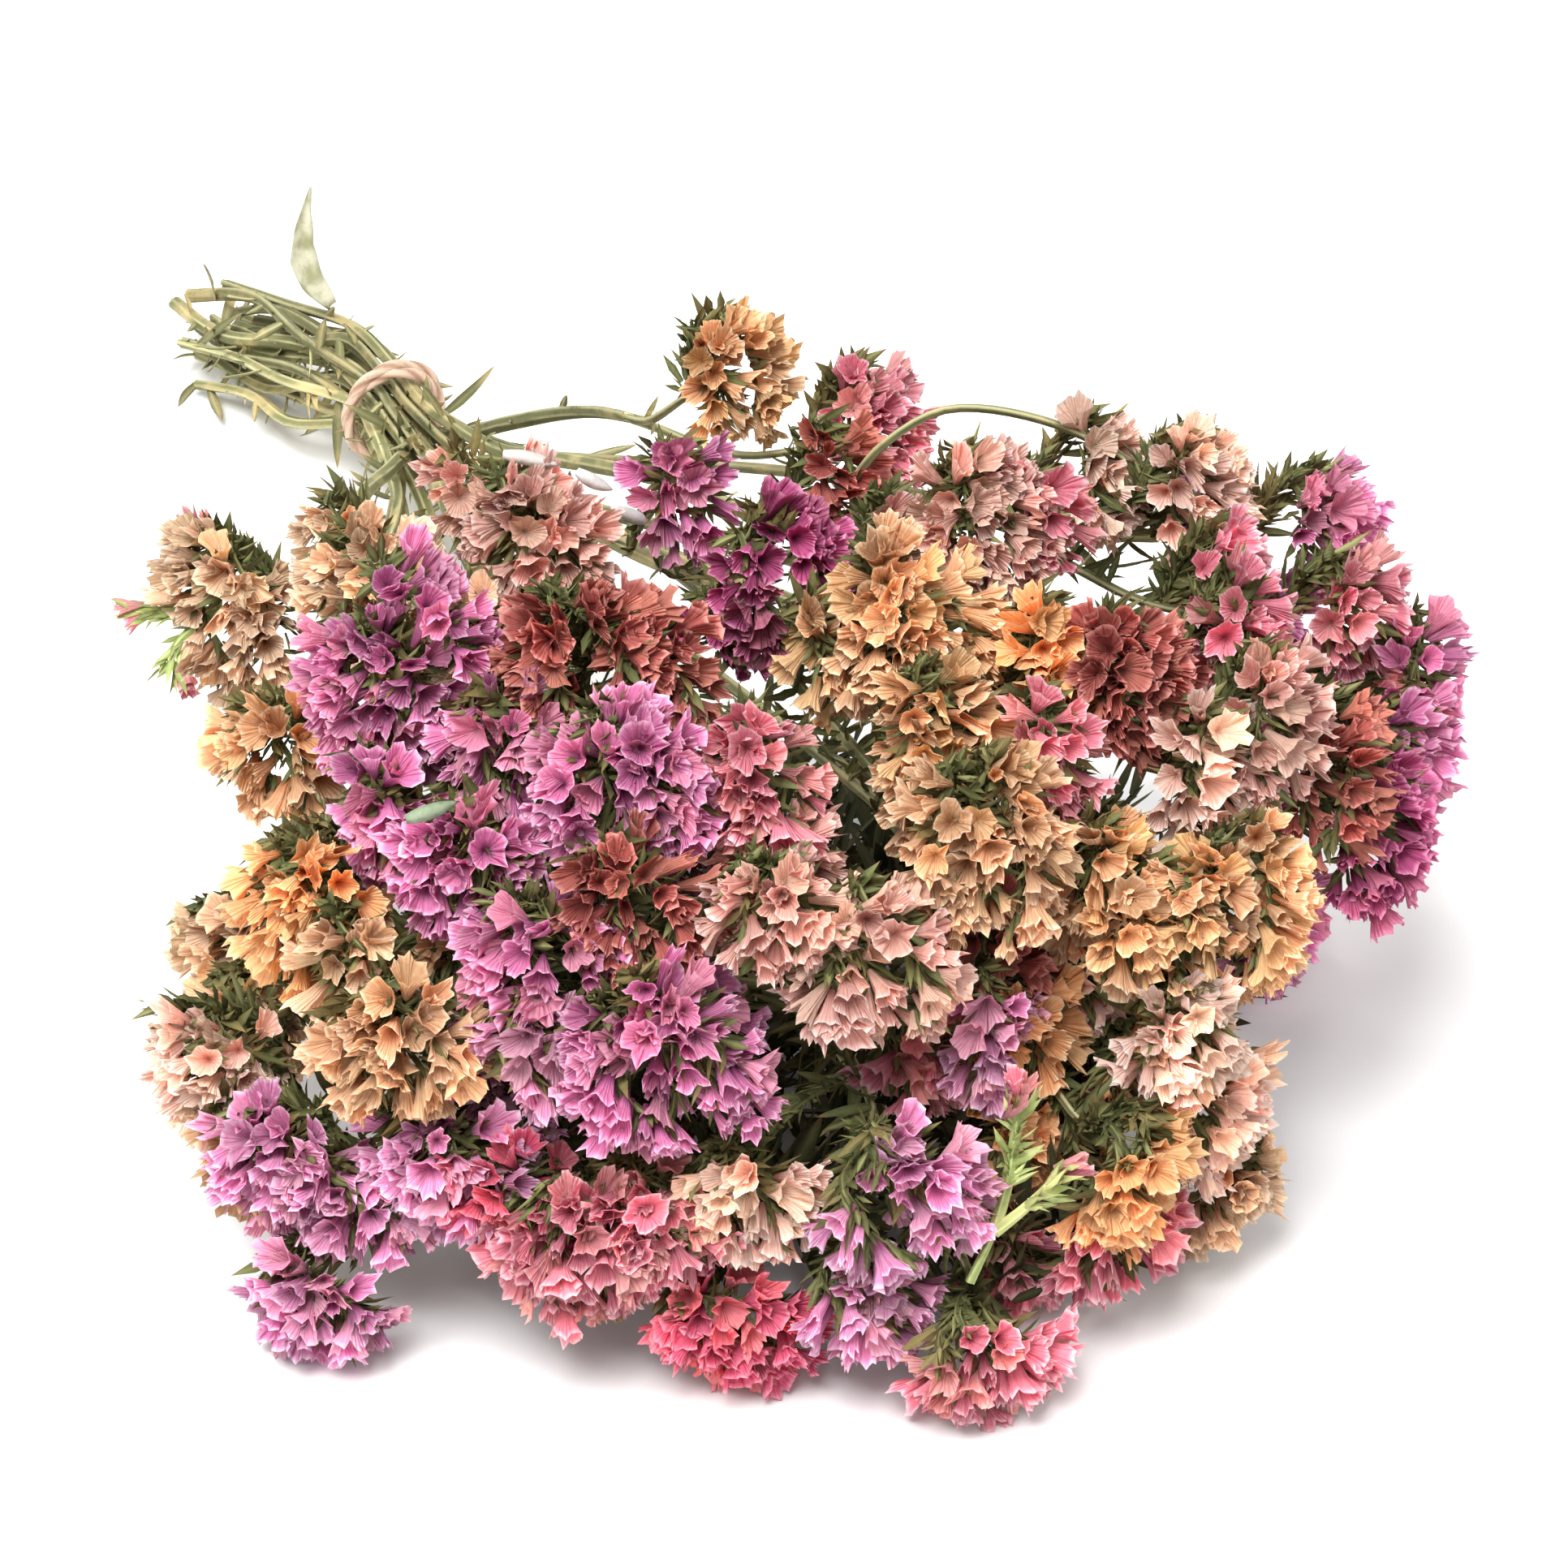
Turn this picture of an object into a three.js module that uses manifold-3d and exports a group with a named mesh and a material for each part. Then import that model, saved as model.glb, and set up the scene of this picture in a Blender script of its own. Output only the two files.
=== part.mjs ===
// A tied bunch of dried statice, lying on its side on a flat surface.
//
// Units are millimetres and +Z is up. The stems run along Y: the cut ends lie towards +Y, the
// flower heads towards -Y. The bunch is laid out round its tie and then moved so that the origin
// is the middle of the underside of its box.
//
// Every flower head is a plain closed solid that swells from its own middle until it meets the
// surface, a neighbour or a stem, so heads and stems keep a small gap whatever their sizes are.

import * as THREE from 'three';
import { mergeVertices } from 'three/addons/utils/BufferGeometryUtils.js';
import Module from 'manifold-3d';

const wasm = await Module();
wasm.setup();

// ---- Overall sizes ---------------------------------------------------------------------------

const HEAD_REACH = 430; // from the tie to the furthest head middles
const HALF_SPREAD = 165; // from the bunch's middle line to the widest head middles
const CROWN_HEIGHT = 150; // from the surface to the highest head middles
const TIE_HEIGHT = 29; // middle of the tie above the surface
const TAIL_LENGTH = 112; // longest cut end behind the tie

// ---- Stems -----------------------------------------------------------------------------------

const STEM_RADIUS = 1.9;
const BRANCH_RADIUS = 1.4;
const STEM_SIDES = 6;
const STEM_CLEARANCE = 0.7; // least space between two stems
const TIE_GRIP = 8; // stems run straight this far on both sides of the tie's middle
const TAIL_FAN = 1.35; // cut ends spread this many times wider than at the tie
const TAIL_DROP = 17; // cut ends hang this much lower than the tie
const TAIL_SIDE = -22; // and lie this far to one side of it
const TAIL_STEPS = 3;
const TRUNK_STEPS = 8;
const BRANCH_STEPS = 4;
const NECK_LENGTH = 5; // the last, straight stretch of a branch below its head
const CORE_HEIGHT = 72; // height of the bunch's middle line at the heads
const CORE_SHARE = 0.82; // how far along its middle line the bunch opens out towards a head
const TRUNK_BOW = 9; // stems swell outwards this much on the way to their forks
const FORK_SHARE = 0.72; // a stem forks this far along the way to its nearest head

// ---- Heads -----------------------------------------------------------------------------------

const HEAD_GAP = 0.6; // space between two heads, and between a head and a stem
const TOUCH_GAP = 0.3; // space between a stem's tip and the head on it
const HEAD_FRONT = 17; // from a head's middle to its outer face
const HEAD_BACK = 11; // from a head's middle to the flat back where its stem ends
const HEAD_CORE = 9; // other stems bend round a head's middle at least this far away
const HEAD_DETAIL = 1; // times that each face of the starting solid is split
const HEAD_LIFT = 1.3; // how much a head faces away from the middle line, against from the tie
const SPIKE_DROOP = 0.5; // how much a flower spike's length leans down the bunch's sides
const NEXT_HEAD_SHARE = 0.2; // a head keeps at least this share of the way to its neighbour

// ---- Tie and leaf ----------------------------------------------------------------------------

const BAND_FIT = 0.7; // space between the tie and the outermost stems
const BAND_WIDTH = 9;
const BAND_THICKNESS = 2.2;
const BAND_SEGMENTS = 14; // per half turn
const LEAF_LENGTH = 36;
const LEAF_WIDTH = 9;
const LEAF_THICKNESS = 1.0;
const LEAF_BEND = 7; // how far the leaf's tip and foot curl back from its middle
const LEAF_PLACE = 58; // from the tie to the leaf's foot
const LEAF_SIDE = -6; // and this far to one side
const LEAF_LEAN = 20; // degrees that the leaf leans back from upright

// ---- Materials -------------------------------------------------------------------------------

const COLOURS = {
  mauve: 0xb46b96,
  purple: 0x8f3f72,
  pink: 0xcf7f92,
  blush: 0xdfa9a0,
  rose: 0xb0586c,
  crimson: 0xbb4d62,
  magenta: 0xa04672,
  salmon: 0xd68f7c,
  peach: 0xe0a37f,
  apricot: 0xd99a62,
  orange: 0xcf7f4a,
  cream: 0xe6bf98,
};

/** A plain matt finish of one colour. */
function finish(colour, roughness) {
  return new THREE.MeshStandardMaterial({ color: colour, roughness, metalness: 0 });
}

// ---- Plan of the bunch -----------------------------------------------------------------------
//
// Each stem carries the heads listed with it. A head's place is in hundredths of HALF_SPREAD to
// the side (+X), of HEAD_REACH away from the tie and of CROWN_HEIGHT above the surface. Its length
// runs down the flower spike and its width across it, both in millimetres.

const STEMS = [
  [
    ['apricot', 15, 40, 84, 44, 42],
    ['pink', 29, 47, 80, 46, 38],
  ],
  [
    ['blush', -30, 55, 88, 56, 50],
    ['magenta', -6, 66, 94, 40, 40],
  ],
  [
    ['blush', 21, 69, 100, 50, 50],
    ['rose', 26, 83, 93, 50, 50],
  ],
  [
    ['salmon', 58, 67, 92, 46, 48],
    ['purple', 77, 68, 82, 38, 36],
    ['pink', 69, 77, 83, 38, 36],
  ],
  [
    ['pink', 88, 66, 38, 52, 48],
    ['mauve', 64, 71, 12, 52, 52],
  ],
  [
    ['blush', 44, 86, 85, 42, 40],
    ['magenta', 60, 87, 62, 46, 42],
    ['purple', 80, 78, 66, 42, 38],
  ],
  [
    ['apricot', 0, 77, 100, 52, 60],
    ['cream', -4, 90, 87, 54, 50],
  ],
  [
    ['apricot', 27, 94, 72, 40, 58],
    ['salmon', 17, 96, 55, 40, 46],
    ['orange', 7, 98, 38, 50, 32],
  ],
  [
    ['peach', 29, 93, 15, 42, 34],
    ['rose', 20, 77, 11, 62, 64],
  ],
  [
    ['mauve', -25, 96, 42, 50, 44],
    ['pink', -13, 99, 13, 48, 42],
  ],
  [
    ['crimson', -43, 91, 13, 50, 46],
    ['pink', -60, 88, 30, 46, 52],
    ['blush', -44, 71, 11, 62, 62],
  ],
  [
    ['purple', -52, 90, 64, 56, 66],
    ['blush', -33, 89, 82, 50, 46],
  ],
  [
    ['purple', -46, 80, 91, 50, 54],
    ['rose', -41, 71, 96, 44, 56],
    ['purple', -66, 78, 81, 48, 56],
  ],
  [
    ['purple', -62, 65, 89, 58, 58],
    ['orange', -82, 72, 69, 56, 50],
    ['cream', -79, 81, 58, 50, 52],
  ],
  [
    ['peach', -66, 45, 72, 56, 42],
    ['peach', -54, 54, 84, 50, 44],
  ],
  [
    ['salmon', -92, 69, 34, 50, 44],
    ['peach', -78, 58, 30, 52, 50],
  ],
  [
    ['mauve', -92, 76, 30, 44, 48],
    ['mauve', -73, 82, 38, 52, 50],
    ['mauve', -92, 80, 12, 46, 48],
  ],
];

// ---- Small helpers ---------------------------------------------------------------------------

const UP = new THREE.Vector3(0, 0, 1);
const TIE = new THREE.Vector3(0, 0, TIE_HEIGHT);

/** A vector from three numbers. */
function vec(x, y, z) {
  return new THREE.Vector3(x, y, z);
}

/** Two digits with a leading zero. */
function two(number) {
  return String(number).padStart(2, '0');
}

/** The part of a vector that is square to a unit direction, at length one. */
function squareTo(direction, vector) {
  return vector.clone().addScaledVector(direction, -vector.dot(direction)).normalize();
}

/** The point of the stretch from a to b that is nearest to p. */
function nearestOn(a, b, p) {
  const along = b.clone().sub(a);
  const share = THREE.MathUtils.clamp(p.clone().sub(a).dot(along) / along.lengthSq(), 0, 1);
  return a.clone().addScaledVector(along, share);
}

// ---- Layout of the heads ---------------------------------------------------------------------

/** Middle, outward direction, axes and half sizes of one head. */
function layOutHead(stemNumber, letter, [colour, side, along, up, length, width]) {
  const middle = vec(
    (side / 100) * HALF_SPREAD,
    (-along / 100) * HEAD_REACH,
    (up / 100) * CROWN_HEIGHT,
  );
  const fromTie = middle.clone().sub(TIE).normalize();
  const core = vec(0, middle.y * CORE_SHARE, CORE_HEIGHT);
  const fromCore = middle.clone().sub(core).normalize();
  const facing = fromCore.multiplyScalar(HEAD_LIFT).add(fromTie).normalize();
  const downSpike = squareTo(facing, fromTie.clone().addScaledVector(UP, -SPIKE_DROOP));
  return {
    stemNumber,
    name: `flower_head_${two(stemNumber)}${letter}`,
    colour,
    middle,
    facing,
    downSpike,
    across: facing.clone().cross(downSpike),
    half: vec(length / 2, width / 2, HEAD_FRONT),
    base: middle.clone().addScaledVector(facing, -HEAD_BACK),
  };
}

const heads = STEMS.flatMap((list, index) =>
  list.map((row, place) => layOutHead(index + 1, 'abc'[place], row)),
);

/** How far a head's free shape reaches from its middle in a unit direction. */
function freeReach(head, direction) {
  const l = direction.dot(head.downSpike) / head.half.x;
  const w = direction.dot(head.across) / head.half.y;
  const f = direction.dot(head.facing) / head.half.z;
  return 1 / Math.hypot(l, w, f);
}

// ---- Layout of the stems ---------------------------------------------------------------------

const PITCH = 2 * STEM_RADIUS + STEM_CLEARANCE;

/** The heads on one stem. */
function headsOf(stemNumber) {
  return heads.filter((head) => head.stemNumber === stemNumber);
}

/** The mean of some points. */
function meanOf(points) {
  const sum = points.reduce((total, point) => total.add(point), vec(0, 0, 0));
  return sum.divideScalar(points.length);
}

/** Pushes places that are closer than the pitch apart, by half each. */
function spreadPlaces(places) {
  for (let i = 0; i < places.length; i += 1) {
    for (let j = i + 1; j < places.length; j += 1) {
      const apart = places[j].clone().sub(places[i]);
      const short = PITCH - apart.length();
      if (short > 0) {
        apart.setLength(short / 2);
        places[j].add(apart);
        places[i].sub(apart);
      }
    }
  }
}

/**
 * Places for the stems inside the tie. Each starts on the side that its heads are on, then they
 * are drawn to the middle and pushed apart in turn until they lie as close as they can.
 */
function packTie() {
  const startSpread = 3 * PITCH;
  const places = STEMS.map((_, index) => {
    const target = meanOf(headsOf(index + 1).map((head) => head.middle));
    const turn = vec(target.x, 0, target.z - CORE_HEIGHT);
    return turn.multiplyScalar(startSpread / HALF_SPREAD);
  });
  const squeezeRounds = 400;
  const squeeze = 0.985;
  for (let round = 0; round < squeezeRounds; round += 1) {
    places.forEach((place) => place.multiplyScalar(squeeze));
    spreadPlaces(places);
  }
  const easeRounds = 60;
  for (let round = 0; round < easeRounds; round += 1) spreadPlaces(places);
  const middle = meanOf(places);
  return places.map((place) => place.sub(middle));
}

const slots = packTie();
const bundleRadius = Math.max(...slots.map((slot) => slot.length())) + STEM_RADIUS;

/** Points spaced evenly along a curve, without the first. */
function walk(curve, steps) {
  return curve.getSpacedPoints(steps).slice(1);
}

/** The cut end of a stem, behind the tie. Neighbouring ends differ in length by a few steps. */
function cutEnd(stemNumber, slot) {
  const lengthStep = 8;
  const stepsShorter = (stemNumber * 7) % 5;
  return vec(
    TAIL_SIDE + slot.x * TAIL_FAN,
    TAIL_LENGTH - stepsShorter * lengthStep,
    Math.max(STEM_RADIUS, TIE_HEIGHT - TAIL_DROP + slot.z * TAIL_FAN),
  );
}

/** The centre line of a branch, leaving the fork along the trunk and meeting its head square. */
function layOutBranch(head, fork, heading) {
  const leaveShare = 0.35;
  const meetShare = 0.3;
  const tip = head.base.clone().addScaledVector(head.facing, -TOUCH_GAP);
  const neck = tip.clone().addScaledVector(head.facing, -NECK_LENGTH);
  const length = neck.distanceTo(fork);
  const curve = new THREE.CubicBezierCurve3(
    fork.clone(),
    fork.clone().addScaledVector(heading, leaveShare * length),
    neck.clone().addScaledVector(head.facing, -meetShare * length),
    neck,
  );
  return { head, points: [fork, ...walk(curve, BRANCH_STEPS), tip] };
}

/** The centre lines of one stem: its trunk from the cut end to the fork, and its branches. */
function layOutStem(stemNumber) {
  const slot = slots[stemNumber - 1];
  const own = headsOf(stemNumber);
  const end = cutEnd(stemNumber, slot);
  const behind = vec(slot.x, TIE_GRIP, TIE_HEIGHT + slot.z);
  const ahead = vec(slot.x, -TIE_GRIP, TIE_HEIGHT + slot.z);
  const bendShare = 0.35;
  const tailCurve = new THREE.QuadraticBezierCurve3(
    end,
    behind.clone().lerp(end, bendShare).setY(end.y / 2),
    behind,
  );
  const target = meanOf(own.map((head) => head.base));
  const nearest = Math.max(...own.map((head) => head.base.y));
  const fork = ahead.clone().lerp(target, (FORK_SHARE * nearest) / target.y);
  const straightShare = 0.25;
  const trunkCurve = new THREE.CubicBezierCurve3(
    ahead,
    vec(ahead.x, ahead.y + straightShare * fork.y, ahead.z),
    ahead.clone().lerp(fork, 0.5).addScaledVector(slot.clone().normalize(), TRUNK_BOW),
    fork,
  );
  const trunk = [end, ...walk(tailCurve, TAIL_STEPS), ahead, ...walk(trunkCurve, TRUNK_STEPS)];
  const heading = trunkCurve.getTangent(1);
  return { stemNumber, trunk, branches: own.map((head) => layOutBranch(head, fork, heading)) };
}

const stems = STEMS.map((_, index) => layOutStem(index + 1));

/** Every straight stretch of every stem, with its radius. The points are shared, not copied. */
function stretches() {
  const list = [];
  for (const stem of stems) {
    for (let i = 1; i < stem.trunk.length; i += 1) {
      list.push({ stem, radius: STEM_RADIUS, a: stem.trunk[i - 1], b: stem.trunk[i] });
    }
    for (const branch of stem.branches) {
      for (let i = 1; i < branch.points.length; i += 1) {
        const fromTip = branch.points.length - 1 - i;
        const { head } = branch;
        const [a, b] = [branch.points[i - 1], branch.points[i]];
        list.push({ stem, radius: BRANCH_RADIUS, a, b, head, fromTip });
      }
    }
  }
  return list;
}

const allStretches = stretches();

/** Nearest points of two stretches. */
function nearestPair(one, other) {
  const along = one.b.clone().sub(one.a);
  const across = other.b.clone().sub(other.a);
  const between = one.a.clone().sub(other.a);
  const mix = along.dot(across);
  const square = along.lengthSq() * across.lengthSq() - mix * mix;
  const nearlyParallel = 1e-6;
  let share = 0.5;
  if (square > nearlyParallel) {
    const free = mix * across.dot(between) - along.dot(between) * across.lengthSq();
    share = THREE.MathUtils.clamp(free / square, 0, 1);
  }
  const start = one.a.clone().addScaledVector(along, share);
  const q = nearestOn(other.a, other.b, start);
  return [nearestOn(one.a, one.b, q), q];
}

/** The points that stay where they are: cut ends, both sides of the tie, necks and tips. */
const pinned = new Set();
for (const stem of stems) {
  pinned.add(stem.trunk[0]);
  pinned.add(stem.trunk[TAIL_STEPS]);
  pinned.add(stem.trunk[TAIL_STEPS + 1]);
  for (const { points } of stem.branches) {
    pinned.add(points[BRANCH_STEPS]);
    pinned.add(points[BRANCH_STEPS + 1]);
  }
}

/** Moves a stretch by its free ends. */
function shift(stretch, move) {
  if (!pinned.has(stretch.a)) stretch.a.add(move);
  if (!pinned.has(stretch.b)) stretch.b.add(move);
}

const PUSH_SHARE = 0.55; // of a shortage, that each of two stretches gives way
const PUSH_ROUNDS = 90;
const CLOSE_ENOUGH = 0.001;

/** Pushes two stretches of different stems apart. Tells whether they were too close. */
function partStems(one, other) {
  const need = one.radius + other.radius + STEM_CLEARANCE;
  const far = one.a.distanceTo(one.b) + other.a.distanceTo(other.b) + need;
  if (one.a.distanceTo(other.a) > far) return false;
  const [p, q] = nearestPair(one, other);
  const apart = q.sub(p);
  const short = need - apart.length();
  if (short < CLOSE_ENOUGH) return false;
  apart.setLength(PUSH_SHARE * short);
  shift(other, apart);
  shift(one, apart.negate());
  return true;
}

/** Pushes a stretch off the middle of a head that isn't at its own tip. */
function bendRound(stretch, head) {
  const tipStretches = 3;
  if (stretch.head === head && stretch.fromTip < tipStretches) return;
  const apart = nearestOn(stretch.a, stretch.b, head.middle).sub(head.middle);
  const short = HEAD_CORE + stretch.radius - apart.length();
  if (short > CLOSE_ENOUGH) shift(stretch, apart.setLength(short / 2));
}

/** One round of pushing. Tells whether any two stems were too close. */
function pushApart() {
  let pushed = false;
  allStretches.forEach((one, index) => {
    for (const other of allStretches.slice(index + 1)) {
      if (one.stem !== other.stem && partStems(one, other)) pushed = true;
    }
    heads.forEach((head) => bendRound(one, head));
    for (const point of [one.a, one.b]) point.z = Math.max(point.z, one.radius);
  });
  return pushed;
}

for (let round = 0; round < PUSH_ROUNDS; round += 1) {
  if (!pushApart()) break;
}

// ---- Solids ----------------------------------------------------------------------------------

/** A geometry's bare positions with its shared corners merged. */
function weld(geometry) {
  geometry.deleteAttribute('normal');
  geometry.deleteAttribute('uv');
  return mergeVertices(geometry, 1e-4);
}

/** A closed geometry as a solid that can be joined to others. */
function toSolid(geometry) {
  const welded = weld(geometry);
  return new wasm.Manifold(new wasm.Mesh({
    numProp: 3,
    vertProperties: new Float32Array(welded.attributes.position.array),
    triVerts: new Uint32Array(welded.index.array),
  }));
}

/** A joined solid as a geometry. */
function toGeometry(solid) {
  const mesh = solid.getMesh();
  const geometry = new THREE.BufferGeometry();
  geometry.setAttribute('position', new THREE.BufferAttribute(new Float32Array(mesh.vertProperties), 3));
  geometry.setIndex(new THREE.BufferAttribute(new Uint32Array(mesh.triVerts), 1));
  geometry.computeVertexNormals();
  return geometry;
}

/** A path of straight stretches that is sampled exactly at its own points. */
class PointPath extends THREE.Curve {
  constructor(points) {
    super();
    this.points = points;
    this.last = points.length - 1;
  }

  getPointAt(share, target = vec(0, 0, 0)) {
    return target.copy(this.points[Math.round(share * this.last)]);
  }

  getTangentAt(share, target = vec(0, 0, 0)) {
    const index = Math.round(share * this.last);
    const before = this.points[Math.max(index - 1, 0)];
    const after = this.points[Math.min(index + 1, this.last)];
    return target.subVectors(after, before).normalize();
  }
}

/** A many-sided rod along a line of points. */
function rod(points, radius) {
  const section = new THREE.Shape();
  for (let side = 0; side < STEM_SIDES; side += 1) {
    const angle = (side / STEM_SIDES) * 2 * Math.PI;
    const [x, y] = [radius * Math.cos(angle), radius * Math.sin(angle)];
    if (side === 0) section.moveTo(x, y);
    else section.lineTo(x, y);
  }
  section.closePath();
  const extrudePath = new PointPath(points);
  return new THREE.ExtrudeGeometry(section, { steps: extrudePath.last, extrudePath });
}

/** One forked stem: its trunk joined with its branches. */
function stemGeometry(stem) {
  let solid = toSolid(rod(stem.trunk, STEM_RADIUS));
  for (const branch of stem.branches) {
    solid = solid.add(toSolid(rod(branch.points, BRANCH_RADIUS)));
  }
  return toGeometry(solid);
}

/** The flat faces that a head may not grow past. */
function limitsOf(head) {
  const limits = [];
  const limit = (normal, point, back) => limits.push({ normal, offset: normal.dot(point) - back });
  limit(vec(0, 0, -1), vec(0, 0, 0), 0);
  limit(head.facing.clone().negate(), head.base, 0);
  for (const other of heads) {
    if (other === head) continue;
    const towards = other.middle.clone().sub(head.middle);
    const distance = towards.length();
    towards.normalize();
    const own = freeReach(head, towards);
    const theirs = freeReach(other, towards);
    if (own + theirs + HEAD_GAP < distance) continue;
    const share = THREE.MathUtils.clamp(
      own / (own + theirs),
      NEXT_HEAD_SHARE,
      1 - NEXT_HEAD_SHARE,
    );
    const point = head.middle.clone().addScaledVector(towards, distance * share);
    limit(towards, point, HEAD_GAP / 2);
  }
  for (const stretch of allStretches) {
    if (stretch.head === head && stretch.fromTip === 0) continue;
    const point = nearestOn(stretch.a, stretch.b, head.middle);
    const towards = point.clone().sub(head.middle).normalize();
    limit(towards, point, stretch.radius + HEAD_GAP);
  }
  return limits;
}

/** One flower head: a rounded solid, cut flat where it meets something. */
function headGeometry(head) {
  const limits = limitsOf(head);
  const geometry = weld(new THREE.IcosahedronGeometry(1, HEAD_DETAIL));
  const place = geometry.attributes.position;
  const basis = new THREE.Matrix4().makeBasis(head.downSpike, head.across, head.facing);
  for (let i = 0; i < place.count; i += 1) {
    const direction = vec(0, 0, 0).fromBufferAttribute(place, i).applyMatrix4(basis).normalize();
    let reach = freeReach(head, direction);
    for (const { normal, offset } of limits) {
      const closing = normal.dot(direction);
      if (closing > 1e-6) {
        reach = Math.min(reach, (offset - normal.dot(head.middle)) / closing);
      }
    }
    const point = head.middle.clone().addScaledVector(direction, reach);
    place.setXYZ(i, point.x, point.y, point.z);
  }
  geometry.computeVertexNormals();
  return geometry;
}

/** The elastic tie: one closed ring held round the stems. */
function bandGeometry() {
  const inside = bundleRadius + BAND_FIT;
  const ring = new THREE.Shape();
  ring.absarc(0, 0, inside + BAND_THICKNESS, 0, 2 * Math.PI, false);
  const hole = new THREE.Path();
  hole.absarc(0, 0, inside, 0, 2 * Math.PI, true);
  ring.holes.push(hole);
  const geometry = new THREE.ExtrudeGeometry(ring, {
    depth: BAND_WIDTH,
    bevelEnabled: false,
    curveSegments: BAND_SEGMENTS,
  });
  geometry.translate(0, 0, -BAND_WIDTH / 2);
  geometry.rotateX(Math.PI / 2);
  return geometry;
}

/** The thin dry leaf that stands up at the cut ends: a flattened spindle, bent backwards. */
function leafGeometry() {
  const geometry = new THREE.SphereGeometry(1, 8, 9);
  geometry.scale(LEAF_THICKNESS / 2, LEAF_LENGTH / 2, LEAF_WIDTH / 2);
  const place = geometry.attributes.position;
  for (let i = 0; i < place.count; i += 1) {
    const along = place.getY(i) / (LEAF_LENGTH / 2);
    place.setX(i, place.getX(i) + LEAF_BEND * along * along);
  }
  geometry.rotateX(Math.PI / 2);
  return geometry;
}

/** Height of the topmost stem over a point of the surface. */
function topOfStems(x, y, around) {
  let top = 0;
  for (const stretch of allStretches) {
    const steps = 8;
    for (let step = 0; step <= steps; step += 1) {
      const point = stretch.a.clone().lerp(stretch.b, step / steps);
      if (Math.hypot(point.x - x, point.y - y) < around) {
        top = Math.max(top, point.z + stretch.radius);
      }
    }
  }
  return top;
}

// ---- The bunch -------------------------------------------------------------------------------

const bunch = new THREE.Group();

/** Adds one named piece to the bunch. */
function addPiece(name, geometry, material) {
  const mesh = new THREE.Mesh(geometry, material);
  mesh.name = name;
  bunch.add(mesh);
  return mesh;
}

const tie = addPiece('tie_band', bandGeometry(), finish(0xb9985c, 0.7));
tie.position.copy(TIE);

for (const stem of stems) {
  addPiece(`stem_${two(stem.stemNumber)}`, stemGeometry(stem), finish(0xb1a873, 0.85));
}

for (const head of heads) {
  addPiece(head.name, headGeometry(head), finish(COLOURS[head.colour], 0.8));
}

const leaf = addPiece('dry_leaf', leafGeometry(), finish(0xc3c494, 0.8));
const leafFoot = topOfStems(LEAF_SIDE, LEAF_PLACE, LEAF_WIDTH) + TOUCH_GAP;
leaf.rotation.x = THREE.MathUtils.degToRad(-LEAF_LEAN);
leaf.position.set(LEAF_SIDE, LEAF_PLACE, leafFoot + LEAF_LENGTH / 2);

bunch.updateMatrixWorld(true);
const box = new THREE.Box3().setFromObject(bunch);
const middle = box.getCenter(vec(0, 0, 0));
bunch.position.set(-middle.x, -middle.y, 0);
bunch.updateMatrixWorld(true);

export default bunch;
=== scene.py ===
"""Looks of a tied bunch of dried statice that lies on its side.

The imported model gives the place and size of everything: each flower head's solid, each stem's
path, the tie and the standing leaf. Around them this script builds papery calyxes on arched
flower spikes, green scales, ribbed stems with leaf scraps, a twisted tie and a thin leaf.
All lengths are in metres and +Z is up. The cut ends lie towards +Y, the flowers towards -Y.
"""

import sys
import logging
import math
from dataclasses import dataclass, field, replace
from enum import Enum
from typing import Any

import bpy
import numpy as np
from mathutils import Matrix, Vector
from mathutils.bvhtree import BVHTree


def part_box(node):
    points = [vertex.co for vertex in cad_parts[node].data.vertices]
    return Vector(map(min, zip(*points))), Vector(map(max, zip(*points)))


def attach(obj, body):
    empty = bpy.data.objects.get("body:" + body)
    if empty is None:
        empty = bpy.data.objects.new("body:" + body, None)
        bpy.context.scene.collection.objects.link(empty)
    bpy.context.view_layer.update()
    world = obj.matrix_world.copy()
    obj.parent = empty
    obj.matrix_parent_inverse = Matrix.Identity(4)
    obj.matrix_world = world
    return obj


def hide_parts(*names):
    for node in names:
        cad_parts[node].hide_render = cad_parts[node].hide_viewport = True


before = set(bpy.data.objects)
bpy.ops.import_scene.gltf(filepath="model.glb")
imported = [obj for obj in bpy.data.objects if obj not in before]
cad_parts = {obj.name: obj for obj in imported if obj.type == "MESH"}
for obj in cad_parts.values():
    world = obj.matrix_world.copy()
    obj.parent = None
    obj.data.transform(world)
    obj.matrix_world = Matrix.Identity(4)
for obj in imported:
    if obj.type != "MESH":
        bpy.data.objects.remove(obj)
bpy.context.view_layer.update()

LOG = logging.getLogger("statice")
BODY = "root"
STEM_SLOT = "stem_green"
UP = Vector((0.0, 0.0, 1.0))
MM = 0.001
CALYX = "calyx_"  # how the calyxes' slots and finishes begin


# ---- Writing node trees ------------------------------------------------------------------------


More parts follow.
